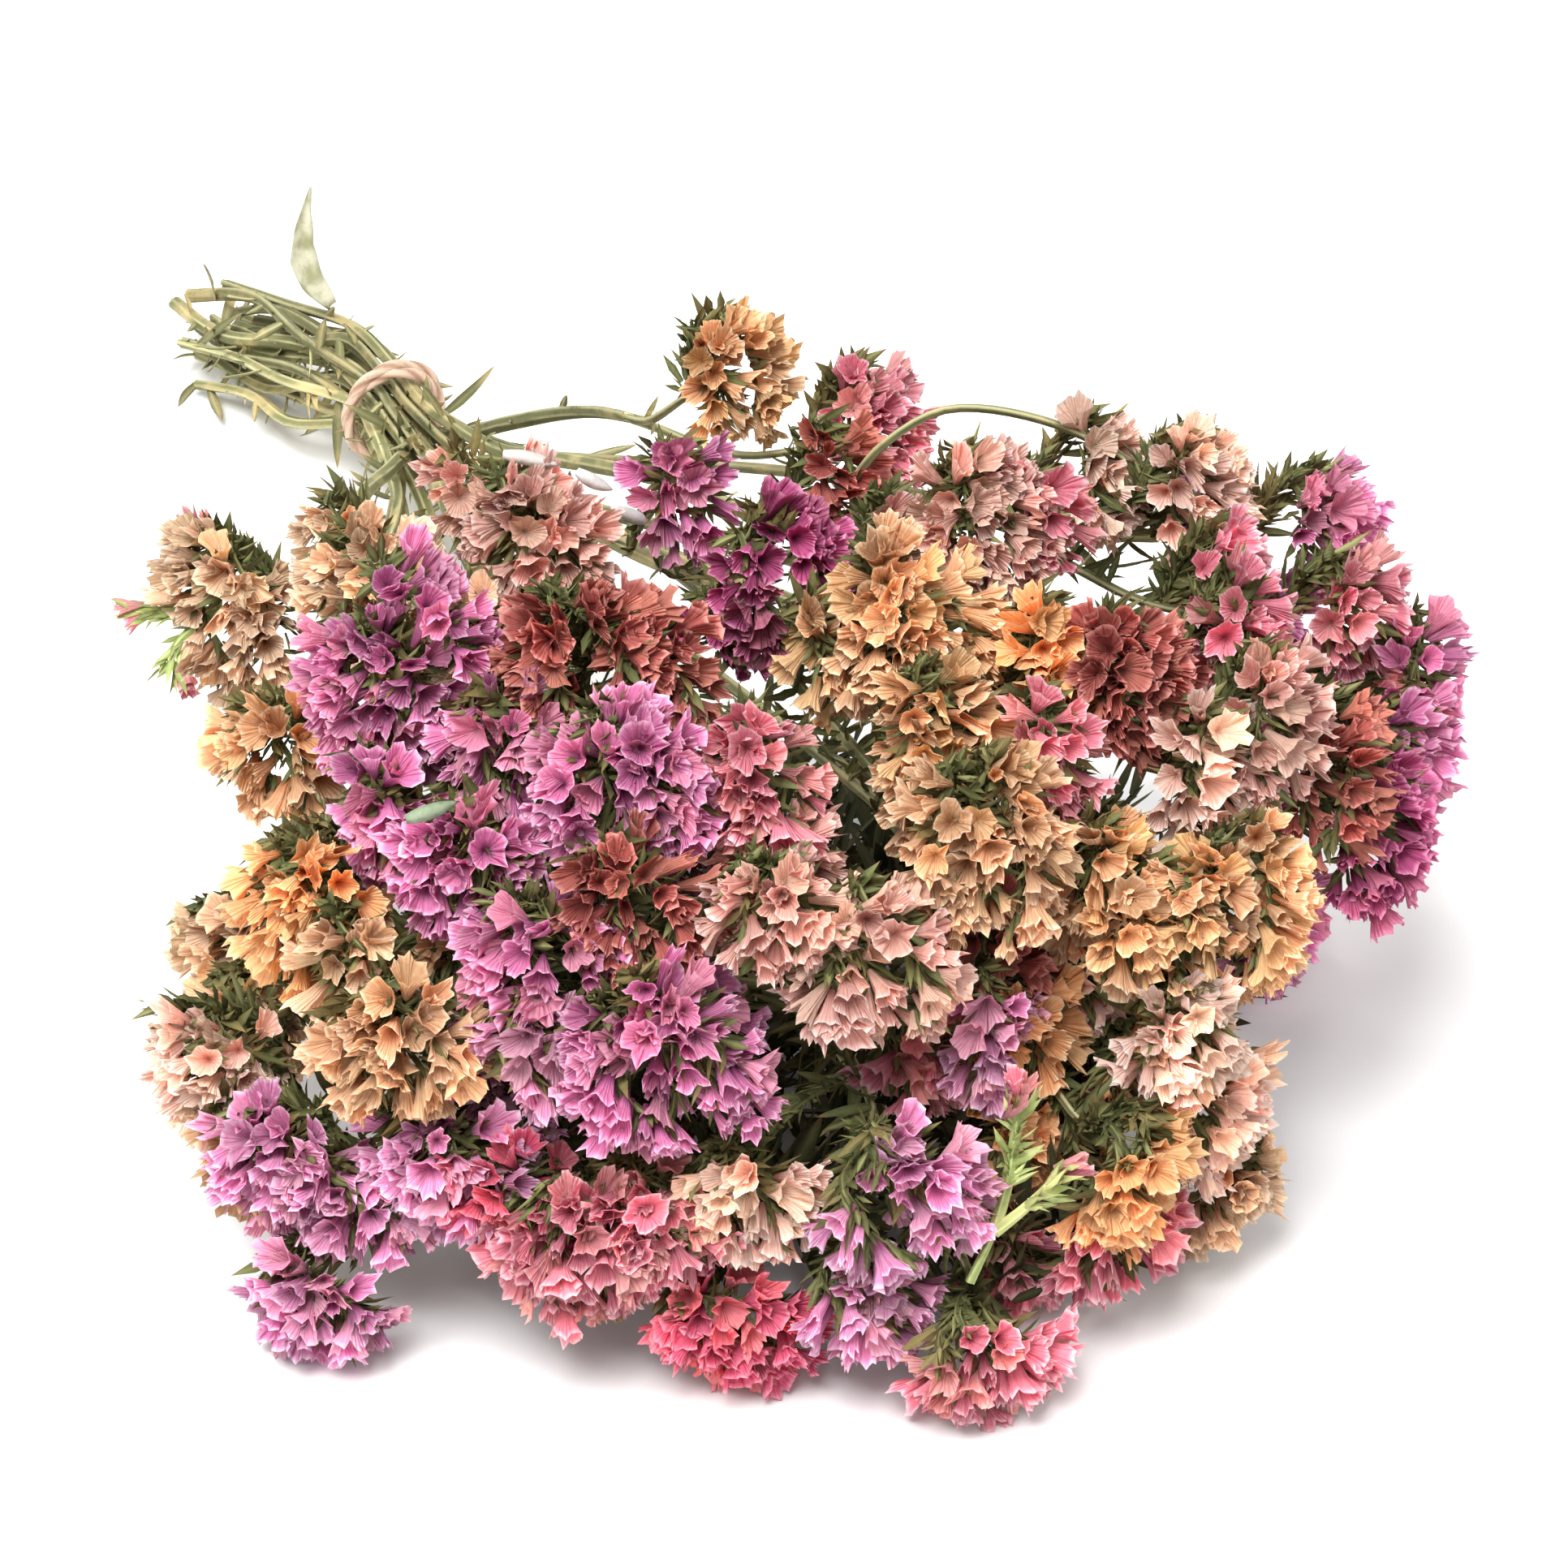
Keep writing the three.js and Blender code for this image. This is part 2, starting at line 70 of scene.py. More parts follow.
@dataclass
class TreeWriter:
    """Adds nodes to a node tree and joins their sockets."""

    tree: bpy.types.NodeTree
    column: int = 0

    SPACING = 180  # between two nodes in the editor

    def add(self, kind: str, inputs: dict | None = None, **settings: Any) -> bpy.types.Node:
        """Adds one node.

        Args:
            kind: the node's type name.
            inputs: for each input's name or number, a value or the output socket to join to it.
            settings: the node's own properties.

        Returns:
            The new node.
        """
        node = self.tree.nodes.new(kind)
        node.location = (self.column * self.SPACING, 0)
        self.column += 1
        for name, value in settings.items():
            setattr(node, name, value)
        for name, value in (inputs or {}).items():
            socket = node.inputs[name]
            if isinstance(value, bpy.types.NodeSocket):
                self.tree.links.new(value, socket)
            elif value is not None:
                socket.default_value = value
        return node

    def math(self, operation: str, *values: Any) -> bpy.types.NodeSocket:
        """Adds a Math node on up to three values or sockets and returns its output."""
        inputs = dict(enumerate(values))
        return self.add("ShaderNodeMath", inputs, operation=operation).outputs[0]

    def vector(self, operation: str, *values: Any) -> bpy.types.NodeSocket:
        """Adds a Vector Math node on one or two vectors and returns its output."""
        inputs = dict(enumerate(values))
        return self.add("ShaderNodeVectorMath", inputs, operation=operation).outputs[0]

    def scaled(self, vector: Any, amount: Any) -> bpy.types.NodeSocket:
        """Returns a vector times a number."""
        inputs = {0: vector, "Scale": amount}
        return self.add("ShaderNodeVectorMath", inputs, operation="SCALE").outputs[0]

    def attribute(self, name: str, kind: str = "FLOAT") -> bpy.types.NodeSocket:
        """Returns a named attribute of the geometry."""
        return self.add(
            "GeometryNodeInputNamedAttribute", {"Name": name}, data_type=kind
        ).outputs["Attribute"]

    def random(self, low: Any, high: Any, seed: Any, kind: str = "FLOAT") -> bpy.types.NodeSocket:
        """Returns a random value for each element, from a fixed seed.

        Args:
            low: The least value.
            high: The greatest value.
            seed: The seed, or the socket that gives it.
            kind: The data type of the values.

        Returns:
            The socket with the values.
        """
        node = self.add("FunctionNodeRandomValue", {"Seed": seed}, data_type=kind)
        usable = [socket for socket in node.inputs if socket.enabled]
        for socket, value in zip(usable[:2], (low, high), strict=True):
            if isinstance(value, bpy.types.NodeSocket):
                self.tree.links.new(value, socket)
            else:
                socket.default_value = value
        return next(socket for socket in node.outputs if socket.enabled)

    def store(
        self, geometry: Any, name: str, value: Any, kind: str = "FLOAT", domain: str = "POINT"
    ) -> bpy.types.NodeSocket:
        """Stores a named attribute.

        Args:
            geometry: The geometry's socket.
            name: The attribute's name.
            value: The socket with the values.
            kind: The attribute's data type.
            domain: The domain that it is stored on.

        Returns:
            The geometry with the attribute.
        """
        node = self.add("GeometryNodeStoreNamedAttribute", data_type=kind, domain=domain)
        self.tree.links.new(geometry, node.inputs["Geometry"])
        node.inputs["Name"].default_value = name
        usable = [socket for socket in node.inputs if socket.enabled]
        self.tree.links.new(value, usable[-1])
        return node.outputs["Geometry"]


def new_geometry_tree(name: str, inputs: dict[str, tuple[str, Any]]) -> tuple[TreeWriter, Any]:
    """Starts a Geometry Nodes tree with named inputs.

    Args:
        name: the tree's name.
        inputs: for each input's name, its socket type and its starting value.

    Returns:
        The tree's writer and the outputs of its Group Input node.
    """
    tree = bpy.data.node_groups.new(name, "GeometryNodeTree")
    tree.interface.new_socket("Geometry", in_out="INPUT", socket_type="NodeSocketGeometry")
    for label, (kind, value) in inputs.items():
        socket = tree.interface.new_socket(label, in_out="INPUT", socket_type=kind)
        if value is not None:
            socket.default_value = value
    tree.interface.new_socket("Geometry", in_out="OUTPUT", socket_type="NodeSocketGeometry")
    writer = TreeWriter(tree)
    return writer, writer.add("NodeGroupInput").outputs


def grown_mesh(
    name: str, guide: bpy.types.Mesh, tree: bpy.types.NodeTree, values: dict[str, Any]
) -> bpy.types.Object:
    """Runs a Geometry Nodes tree on a guide mesh and keeps the result as a plain mesh.

    Args:
        name: the new piece's name.
        guide: the mesh that the tree starts from.
        tree: the Geometry Nodes tree.
        values: for each named input of the tree, its value.

    Returns:
        A new object at the origin with the finished mesh.
    """
    maker = new_piece(name + "_maker", guide)
    modifier = maker.modifiers.new("grow", "NODES")
    modifier.node_group = tree
    sockets = {
        item.name: item.identifier
        for item in tree.interface.items_tree
        if item.item_type == "SOCKET" and item.in_out == "INPUT"
    }
    for label, value in values.items():
        modifier[sockets[label]] = value
    graph = bpy.context.evaluated_depsgraph_get()
    mesh = bpy.data.meshes.new_from_object(
        maker.evaluated_get(graph), preserve_all_data_layers=True, depsgraph=graph
    )
    maker.modifiers.remove(modifier)
    bpy.data.objects.remove(maker)
    mesh.name = name
    return new_piece(name, mesh)


def settle(piece: bpy.types.Object, finish: str, *nodes: str) -> None:
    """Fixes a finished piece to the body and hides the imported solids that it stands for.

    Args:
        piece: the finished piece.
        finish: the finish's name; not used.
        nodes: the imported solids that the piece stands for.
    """
    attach(piece, BODY)
    if nodes:
        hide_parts(*nodes)
    LOG.info("%s: %d faces", piece.name, len(piece.data.polygons))


def new_piece(name: str, mesh: bpy.types.Mesh) -> bpy.types.Object:
    """Puts a mesh in the scene as an object at the origin."""
    piece = bpy.data.objects.new(name, mesh)
    bpy.context.scene.collection.objects.link(piece)
    return piece


def add_numbers(mesh: bpy.types.Mesh, label: str, numbers: Any) -> None:
    """Stores one number for each point of a mesh."""
    layer = mesh.attributes.new(label, "FLOAT", "POINT")
    layer.data.foreach_set("value", np.asarray(numbers, np.float32))


def mesh_from(
    name: str, points: Any, faces: Any, attributes: dict[str, Any] | None = None
) -> bpy.types.Mesh:
    """Makes a mesh with number attributes on its points.

    Args:
        name: the mesh's name.
        points: the places of its points.
        faces: the point numbers of each face.
        attributes: for each attribute's name, one number per point.

    Returns:
        The new mesh.
    """
    mesh = bpy.data.meshes.new(name)
    mesh.from_pydata([tuple(p) for p in points], [], faces)
    for label, numbers in (attributes or {}).items():
        add_numbers(mesh, label, numbers)
    mesh.update()
    return mesh


def guide_from(
    name: str, lines: list[Any], numbers: dict[str, Any], vectors: dict[str, Any] | None = None
) -> bpy.types.Mesh:
    """Makes a mesh of open lines that a tree sweeps or sets shapes along.

    Args:
        name: the mesh's name.
        lines: the points of each line in order.
        numbers: for each attribute's name, a list of numbers for each line.
        vectors: for each attribute's name, a list of vectors for each line.

    Returns:
        The new mesh, which has edges only.
    """
    points: list[Any] = []
    edges: list[tuple[int, int]] = []
    for line in lines:
        first = len(points)
        points.extend(tuple(p) for p in line)
        edges.extend((first + i, first + i + 1) for i in range(len(line) - 1))
    mesh = bpy.data.meshes.new(name)
    mesh.from_pydata(points, edges, [])
    for label, values in numbers.items():
        add_numbers(mesh, label, np.concatenate(values))
    for label, values in (vectors or {}).items():
        layer = mesh.attributes.new(label, "FLOAT_VECTOR", "POINT")
        layer.data.foreach_set("vector", np.concatenate(values).astype(np.float32).ravel())
    return mesh


# ---- Finishes ----------------------------------------------------------------------------------


Colour = tuple[float, float, float]


def from_screen(red: int, green: int, blue: int) -> Colour:
    """Turns a 0-255 screen colour into the linear numbers that shaders use.

    Args:
        red: The red channel, 0 to 255.
        green: The green channel, 0 to 255.
        blue: The blue channel, 0 to 255.

    Returns:
        The three channels in linear light, 0 to 1.
    """

    def linear(value: float) -> float:
        """Returns one channel in linear light."""
        return value / 12.92 if value <= 0.04045 else ((value + 0.055) / 1.055) ** 2.4

    return tuple(linear(channel / 255) for channel in (red, green, blue))


def with_alpha(colour: Colour) -> tuple[float, float, float, float]:
    """Returns a colour with a full fourth number."""
    return (*colour, 1.0)


def new_shader_tree(name: str) -> tuple[bpy.types.Material, TreeWriter, Any]:
    """Starts a material whose nodes are all still to be added.

    Args:
        name: the material's name.

    Returns:
        The material, its tree's writer and its output node.
    """
    material = bpy.data.materials.new(name)
    material.use_nodes = True
    material.node_tree.nodes.clear()
    writer = TreeWriter(material.node_tree)
    return material, writer, writer.add("ShaderNodeOutputMaterial")


def mixed(writer: TreeWriter, share: Any, first: Any, second: Any, blend: str = "MIX") -> Any:
    """Adds a colour mix node and returns its output.

    Args:
        writer: the shader tree's writer.
        share: how much of the second colour, a number or a socket.
        first: a colour or a socket.
        second: a colour or a socket.
        blend: the way the two are mixed.

    Returns:
        The mixed colour's socket.
    """
    node = writer.add("ShaderNodeMix", data_type="RGBA", blend_type=blend)
    for number, value in ((0, share), (6, first), (7, second)):
        socket = node.inputs[number]
        if isinstance(value, bpy.types.NodeSocket):
            writer.tree.links.new(value, socket)
        elif number == 0:
            socket.default_value = value
        else:
            socket.default_value = with_alpha(value)
    return node.outputs[2]


def ramp(writer: TreeWriter, value: Any, low: float, high: float, top: float = 1.0) -> Any:
    """Returns a value that rises smoothly from 0 at low to top at high."""
    inputs = {"Value": value, "From Min": low, "From Max": high, "To Max": top}
    return writer.add(
        "ShaderNodeMapRange", inputs, interpolation_type="SMOOTHSTEP", clamp=True
    ).outputs[0]


def read(writer: TreeWriter, name: str) -> Any:
    """Returns a number that the mesh carries at each point."""
    return writer.add("ShaderNodeAttribute", attribute_name=name).outputs["Fac"]


def noise(writer: TreeWriter, scale: float, detail: float = 2.0) -> Any:
    """Returns smooth noise laid out in the bunch's own space.

    Args:
        writer: the shader tree's writer.
        scale: cells per metre.
        detail: how many finer layers it has.

    Returns:
        The noise's number socket.
    """
    place = writer.add("ShaderNodeTexCoord").outputs["Object"]
    inputs = {"Vector": place, "Scale": scale, "Detail": detail}
    return writer.add("ShaderNodeTexNoise", inputs).outputs["Fac"]


def dimmed(writer: TreeWriter, colour: Any, light: Any) -> Any:
    """Returns a colour times a light level."""
    grey = writer.add("ShaderNodeCombineColor", {0: light, 1: light, 2: light}).outputs[0]
    return mixed(writer, 1.0, colour, grey, "MULTIPLY")


def bumped(writer: TreeWriter, height: Any, strength: float, depth: float) -> Any:
    """Returns the normal of a surface with small bumps."""
    inputs = {"Height": height, "Strength": strength, "Distance": depth}
    return writer.add("ShaderNodeBump", inputs).outputs[0]


@dataclass(frozen=True)
class CalyxFinish:
    """Dried papery calyx: a dark throat colour that is painted shade, dyed body, bleached pleats, a
    pale rim that is partly bleaching and partly a painted highlight, fine veins.
    """

    name: str
    body: Colour
    rim: Colour
    throat: Colour
    faded: Colour
    glow: float = 0.4  # share of the light that passes through the paper
    roughness: float = 0.82
    vein_waves: float = 16.0
    vein_depth: float = 0.08

    def material(self) -> bpy.types.Material:
        """Returns the calyx material."""
        material, w, output = new_shader_tree(self.name)
        along = read(w, "along")
        pleat = read(w, "pleat")
        tint = read(w, "tint")
        age = read(w, "age")
        patch = noise(w, 28.0)
        speck = noise(w, 520.0, 3.0)
        # Painted shade: the throat colour darkens the calyx's foot and the inside of its funnel.
        colour = mixed(w, ramp(w, along, 0.05, 0.7), self.throat, self.body)
        # Partly painted highlight: the rim colour lightens the lobes' edges, partly for the paper's
        # own bleaching and partly for light caught by the edges.
        edge = w.math("MULTIPLY", ramp(w, along, 0.84, 1.0), w.math("ADD", 0.9, pleat))
        colour = mixed(w, w.math("MULTIPLY", edge, 0.68), colour, self.rim)
        fade = w.math("ADD", ramp(w, age, 0.45, 1.0, 0.75), ramp(w, patch, 0.5, 0.72, 0.4))
        colour = mixed(w, w.math("MINIMUM", fade, 0.9), colour, self.faded)
        wave = w.math("SINE", w.math("MULTIPLY", pleat, self.vein_waves))
        vein = ramp(w, wave, 0.35, 1.0, self.vein_depth)
        light = w.math("ADD", ramp(w, tint, 0.0, 1.0, 0.38), 0.88)
        light = w.math("SUBTRACT", light, vein)
        light = w.math("SUBTRACT", light, ramp(w, speck, 0.55, 0.8, 0.16))
        colour = dimmed(w, colour, light)
        height = w.math("ADD", w.math("MULTIPLY", wave, 0.5), w.math("MULTIPLY", speck, 2.0))
        normal = bumped(w, height, 0.55, 0.7 * MM)
        paper = w.add(
            "ShaderNodeBsdfPrincipled",
            {
                "Base Color": colour,
                "Roughness": self.roughness,
                "Specular IOR Level": 0.18,
                "Normal": normal,
            },
        ).outputs[0]
        through = w.add("ShaderNodeBsdfTranslucent", {"Color": colour, "Normal": normal}).outputs[0]
        both = w.add("ShaderNodeMixShader", {0: self.glow, 1: paper, 2: through})
        w.tree.links.new(both.outputs[0], output.inputs["Surface"])
        return material


@dataclass(frozen=True)
class GreenFinish:
    """Dried grey-green stem or scale, with paler ribs (partly their own colour, partly painted
    light), darker hollows (painted shade), straw patches and brown tips.
    """

    name: str
    hollow: Colour
    rib: Colour
    straw: Colour
    tip: Colour
    roughness: float = 0.7
    streaks: float = 9.0
    streak_length: float = 70.0

    def material(self) -> bpy.types.Material:
        """Returns the green material."""
        material, w, output = new_shader_tree(self.name)
        rib = read(w, "rib")
        along = read(w, "along")
        tint = read(w, "tint")
        patch = noise(w, 60.0, 3.0)
        streak_place = w.add(
            "ShaderNodeCombineXYZ",
            {
                0: w.math("MULTIPLY", read(w, "turn"), self.streaks),
                1: w.math("MULTIPLY", read(w, "run"), self.streak_length),
                2: w.math("MULTIPLY", tint, self.streaks),
            },
        )
        inputs = {"Vector": streak_place.outputs[0], "Scale": 1.0, "Detail": 3.0}
        streak = w.add("ShaderNodeTexNoise", inputs).outputs["Fac"]
        fine = w.math("MULTIPLY", noise(w, 900.0, 2.0), 0.5)
        grain = w.math("ADD", fine, w.math("MULTIPLY", streak, 0.5))
        # Painted light and shade: the rib mark lightens the ridges and darkens the hollows, on top
        # of the green's own colour.
        colour = mixed(w, ramp(w, rib, 0.0, 1.0, 0.8), self.hollow, self.rib)
        colour = mixed(w, ramp(w, streak, 0.48, 0.68, 0.6), colour, self.hollow)
        colour = mixed(w, ramp(w, patch, 0.45, 0.7, 0.7), colour, self.straw)
        colour = mixed(w, ramp(w, along, 0.75, 1.0, 0.75), colour, self.tip)
        light = w.math("ADD", ramp(w, tint, 0.0, 1.0, 0.5), 0.72)
        light = w.math("SUBTRACT", light, ramp(w, grain, 0.5, 0.7, 0.25))
        height = w.math("ADD", grain, w.math("MULTIPLY", patch, 0.5))
        shader = w.add(
            "ShaderNodeBsdfPrincipled",
            {
                "Base Color": dimmed(w, colour, light),
                "Roughness": self.roughness,
                "Specular IOR Level": 0.25,
                "Normal": bumped(w, height, 0.6, 0.4 * MM),
            },
        )
        w.tree.links.new(shader.outputs[0], output.inputs["Surface"])
        return material


@dataclass(frozen=True)
class PlainPaperFinish:
    """A pale dried leaf or petal scrap: thin, mottled and slightly see-through."""

    name: str
    light: Colour
    dark: Colour
    glow: float = 0.35

    def material(self) -> bpy.types.Material:
        """Returns the thin pale material."""
        material, w, output = new_shader_tree(self.name)
        patch = noise(w, 140.0, 4.0)
        grain = noise(w, 1400.0, 2.0)
        colour = mixed(w, ramp(w, patch, 0.38, 0.66), self.light, self.dark)
        colour = mixed(w, ramp(w, grain, 0.5, 0.8, 0.35), colour, self.dark)
        normal = bumped(w, grain, 0.4, 0.3 * MM)
        inputs = {"Base Color": colour, "Roughness": 0.7, "Normal": normal}
        solid = w.add("ShaderNodeBsdfPrincipled", inputs).outputs[0]
        through = w.add("ShaderNodeBsdfTranslucent", {"Color": colour}).outputs[0]
        both = w.add("ShaderNodeMixShader", {0: self.glow, 1: solid, 2: through})
        w.tree.links.new(both.outputs[0], output.inputs["Surface"])
        return material


# For each dye: the calyx's body, its rim (partly bleached, partly a painted highlight), its throat
# (painted shade in the funnel) and faded patches, as screen colours.
DYES = {
    "mauve": ((236, 166, 206), (250, 220, 238), (184, 98, 146), (238, 190, 202)),
    "purple": ((228, 142, 189), (250, 206, 230), (166, 74, 128), (234, 168, 186)),
    "pink": ((242, 156, 174), (252, 214, 220), (202, 100, 118), (244, 190, 180)),
    "blush": ((240, 191, 180), (252, 228, 220), (212, 138, 126), (244, 212, 190)),
    "rose": ((196, 110, 102), (238, 174, 164), (148, 64, 64), (212, 142, 122)),
    "crimson": ((244, 124, 160), (252, 184, 202), (188, 64, 96), (246, 160, 162)),
    "magenta": ((198, 95, 144), (236, 162, 198), (140, 50, 92), (208, 130, 150)),
    "salmon": ((255, 220, 206), (255, 242, 234), (236, 162, 142), (255, 232, 208)),
    "peach": ((243, 210, 180), (254, 238, 216), (220, 148, 108), (248, 224, 188)),
    "apricot": ((239, 194, 152), (254, 232, 200), (212, 134, 82), (246, 212, 158)),
    "orange": ((255, 204, 150), (255, 230, 192), (230, 138, 76), (255, 212, 156)),
    "cream": ((234, 192, 154), (254, 230, 202), (208, 138, 90), (242, 208, 164)),
}
# For each green: its hollows (painted shade), ribs (partly their own paler colour, partly painted
# light), straw patches and tips.
GREENS = {
    "stem_green": ((112, 113, 74), (200, 195, 150), (210, 190, 138), (170, 142, 102)),
    "sprig_green": ((140, 156, 88), (206, 214, 152), (206, 200, 140), (196, 170, 120)),
    # Painted shade: an almost black green for the twigs and leaves that fill the inside of the
    # bunch.
    "inner_green": ((56, 60, 36), (98, 100, 64), (92, 78, 50), (84, 62, 40)),
    # The scales' green is darker than their own olive: partly their colour, partly painted shade for
    # the dark gaps between the calyxes.
    "scale_green": ((84, 90, 52), (150, 150, 100), (134, 112, 70), (128, 92, 58)),
}


def colours_from(row: Any) -> list[Colour]:
    """Returns a row of screen colours as linear ones."""
    return [from_screen(*colour) for colour in row]


def all_materials() -> dict[str, bpy.types.Material]:
    """Returns the material of every dye and every green, by its finish's name."""
    finishes = [CalyxFinish(CALYX + dye, *colours_from(row)) for dye, row in DYES.items()]
    finishes += [GreenFinish(name, *colours_from(row)) for name, row in GREENS.items()]
    return {finish.name: finish.material() for finish in finishes}


# ---- Small repeated shapes ---------------------------------------------------------------------


class FloretKind(Enum):
    """How far a calyx has opened, and how it dried."""

    OPEN = "open"
    HALF = "half"
    FOLDED = "folded"
    BUD = "bud"


@dataclass(frozen=True)
class FloretShape:
    """A five-lobed pleated funnel with a closed paper-thin wall, standing on +Z."""

    kind: FloretKind
    seed: int
    length: float = 10.2 * MM
    lobes: int = 5
    wall: float = 0.22 * MM

    LEVELS = (0.0, 0.62, 1.0)
    RADII = {
        FloretKind.OPEN: (0.8, 2.3, 4.6),
        FloretKind.HALF: (0.8, 2.1, 3.6),
        FloretKind.FOLDED: (0.8, 2.2, 4.6),
        FloretKind.BUD: (0.7, 1.4, 1.7),
    }
    # Across one lobe: the notch between two lobes, a shoulder, the lobe's corner, a shoulder.
    REACH = (-1.0, 0.1, 0.8, 0.1)
    RAISE = (-0.07, 0.02, 0.03, 0.02)
    PLEAT = (0.0, 0.6, 1.0, 0.6)
    FOLDS = (0.0, 0.12, 0.13)
    # How much calyxes differ: standard deviations in radians, shares of the size, and metres.
    TURN_SPREAD = 0.05
    LOBE_SPREAD = 0.06
    RIM_SPREAD = 0.11
    RAISE_SPREAD = 0.085
    BEND_SPREAD = 0.9 * MM
    # The least and the most: the corners' reach, and the roundness of a folded and an open one.
    REACH_RANGE = (0.4, 1.1)
    FOLDED_RANGE = (0.3, 0.55)
    OPEN_RANGE = (0.72, 1.0)
    # How far along the calyx the shader takes the inner wall and the throat to be; low values give
    # them the throat colour, which is painted shade.
    INNER_LEVEL = 0.55
    THROAT_LEVEL = 0.1

    def mesh(self) -> bpy.types.Mesh:
        """Returns the funnel's mesh, with attributes for its length and its pleats."""
        draw = np.random.default_rng(self.seed)
        per_lobe = len(self.REACH)
        count = per_lobe * self.lobes
        turn = 2 * math.pi * np.arange(count) / count + draw.normal(0, self.TURN_SPREAD, count)
        reach = np.tile(self.REACH, self.lobes) * draw.uniform(*self.REACH_RANGE)
        pleat = np.tile(self.PLEAT, self.lobes)
        lobe_stretch = np.repeat(draw.normal(0, self.LOBE_SPREAD, self.lobes), per_lobe)
        stretch = 1 + lobe_stretch + draw.normal(0, self.RIM_SPREAD, count)
        raised = np.tile(self.RAISE, self.lobes) + draw.normal(0, self.RAISE_SPREAD, count)
        raised = raised + 0.7 * lobe_stretch
        folded = self.kind is FloretKind.FOLDED
        squash = draw.uniform(*(self.FOLDED_RANGE if folded else self.OPEN_RANGE))
        bend = draw.normal(0, self.BEND_SPREAD, 2)
        rings = []
        for level, radius, fold in zip(self.LEVELS, self.RADII[self.kind], self.FOLDS, strict=True):
            size = radius * MM * (1 + fold * reach) * (1 + (stretch - 1) * level)
            x = size * np.cos(turn) + bend[0] * level**2
            y = size * np.sin(turn) * (1 - (1 - squash) * level) + bend[1] * level**2
            z = self.length * (level + raised * level**3)
            rings.append(np.stack([x, y, z], axis=1))
        inner = self._drawn_in(rings[1])
        throat = (rings[0].mean(axis=0) + rings[1].mean(axis=0)) / 2
        points = np.concatenate([*rings, inner, [throat]])
        levels = [*np.repeat(self.LEVELS, count), *np.repeat(self.INNER_LEVEL, count)]
        levels.append(self.THROAT_LEVEL)
        pleats = [*np.tile(pleat, 4), 0.5]
        name = f"floret_{self.kind.value}_{self.seed}"
        return mesh_from(name, points, self._faces(count), {"along": levels, "pleat": pleats})

    def _drawn_in(self, ring: Any) -> Any:
        """Returns a ring moved in by the wall's thickness."""
        middle = ring.mean(axis=0)
        away = ring - middle
        size = np.linalg.norm(away[:, :2], axis=1, keepdims=True)
        return middle + away * (1 - self.wall / np.maximum(size, self.wall))

    @staticmethod
    def _faces(count: int) -> list[list[int]]:
        """Returns the faces: two outer bands, one inner band, the foot and the throat.

        Args:
            count: The number of points in one ring.

        Returns:
            The faces, as lists of point numbers.
        """
        faces = [list(range(count))[::-1]]
        for band in range(2):
            for i in range(count):
                j = (i + 1) % count
                low, high = band * count, (band + 1) * count
                faces.append([low + i, low + j, high + j, high + i])
        rim, deep, throat = 2 * count, 3 * count, 4 * count
        for i in range(count):
            j = (i + 1) % count
            faces.append([deep + i, rim + i, rim + j, deep + j])
            faces.append([throat, deep + i, deep + j])
        return faces


@dataclass(frozen=True)
class BladeShape:
    """A pointed scale or narrow leaf with a closed, thin, cupped body along +Z."""

    name: str
    length: float
    width: float
    curl: float
    seed: int
    stations: int = 4
    thickness: float = 0.25 * MM

    LEAN_SPREAD = 0.25  # of the curl
    RIPPLE_SPREAD = 0.06  # of the width
    FOLD = 0.35  # how far the edges stand forward, as a share of the half width
    FOOT = 0.16  # how far from a point the blade's foot is, as a share of a whole oval

    def mesh(self) -> bpy.types.Mesh:
        """Returns the blade's mesh with attributes for its length and its raised midrib."""
        draw = np.random.default_rng(self.seed)
        points, along, rib = [], [], []
        lean = draw.normal(0, self.LEAN_SPREAD) * self.curl
        for station in range(self.stations):
            share = station / self.stations
            oval = math.sin(math.pi * (self.FOOT + (1 - self.FOOT) * share))
            half = self.width / 2 * oval**0.8
            z = self.length * share
            back = -self.curl * share**2
            side = lean * share**2
            ripple = draw.normal(0, self.RIPPLE_SPREAD) * self.width
            fold = self.FOLD * half
            for x, y, r in (
                (-half, fold + ripple, 0.0),
                (0.0, -self.thickness, 1.0),
                (half, fold - ripple, 0.0),
                (0.0, self.thickness, 0.4),
            ):
                points.append((x + side, y + back, z))
                along.append(share)
                rib.append(r)
        points.append((lean, -self.curl, self.length))
        along.append(1.0)
        rib.append(0.5)
        faces = [[3, 2, 1, 0]]
        for station in range(self.stations - 1):
            low, high = 4 * station, 4 * station + 4
            for i in range(4):
                j = (i + 1) % 4
                faces.append([low + i, low + j, high + j, high + i])
        last, tip = 4 * (self.stations - 1), 4 * self.stations
        for i in range(4):
            faces.append([last + i, last + (i + 1) % 4, tip])
        return mesh_from(self.name, points, faces, {"along": along, "rib": rib})


def shape_collection(name: str, shapes: list[Any]) -> bpy.types.Collection:
    """Puts repeated shapes in a collection that a tree picks from.

    Args:
        name: the collection's name.
        shapes: shape makers, each with a mesh method.

    Returns:
        The collection, which isn't part of the scene.
    """
    collection = bpy.data.collections.new(name)
    for number, shape in enumerate(shapes):
        collection.objects.link(bpy.data.objects.new(f"{name}_{number:02d}", shape.mesh()))
    return collection


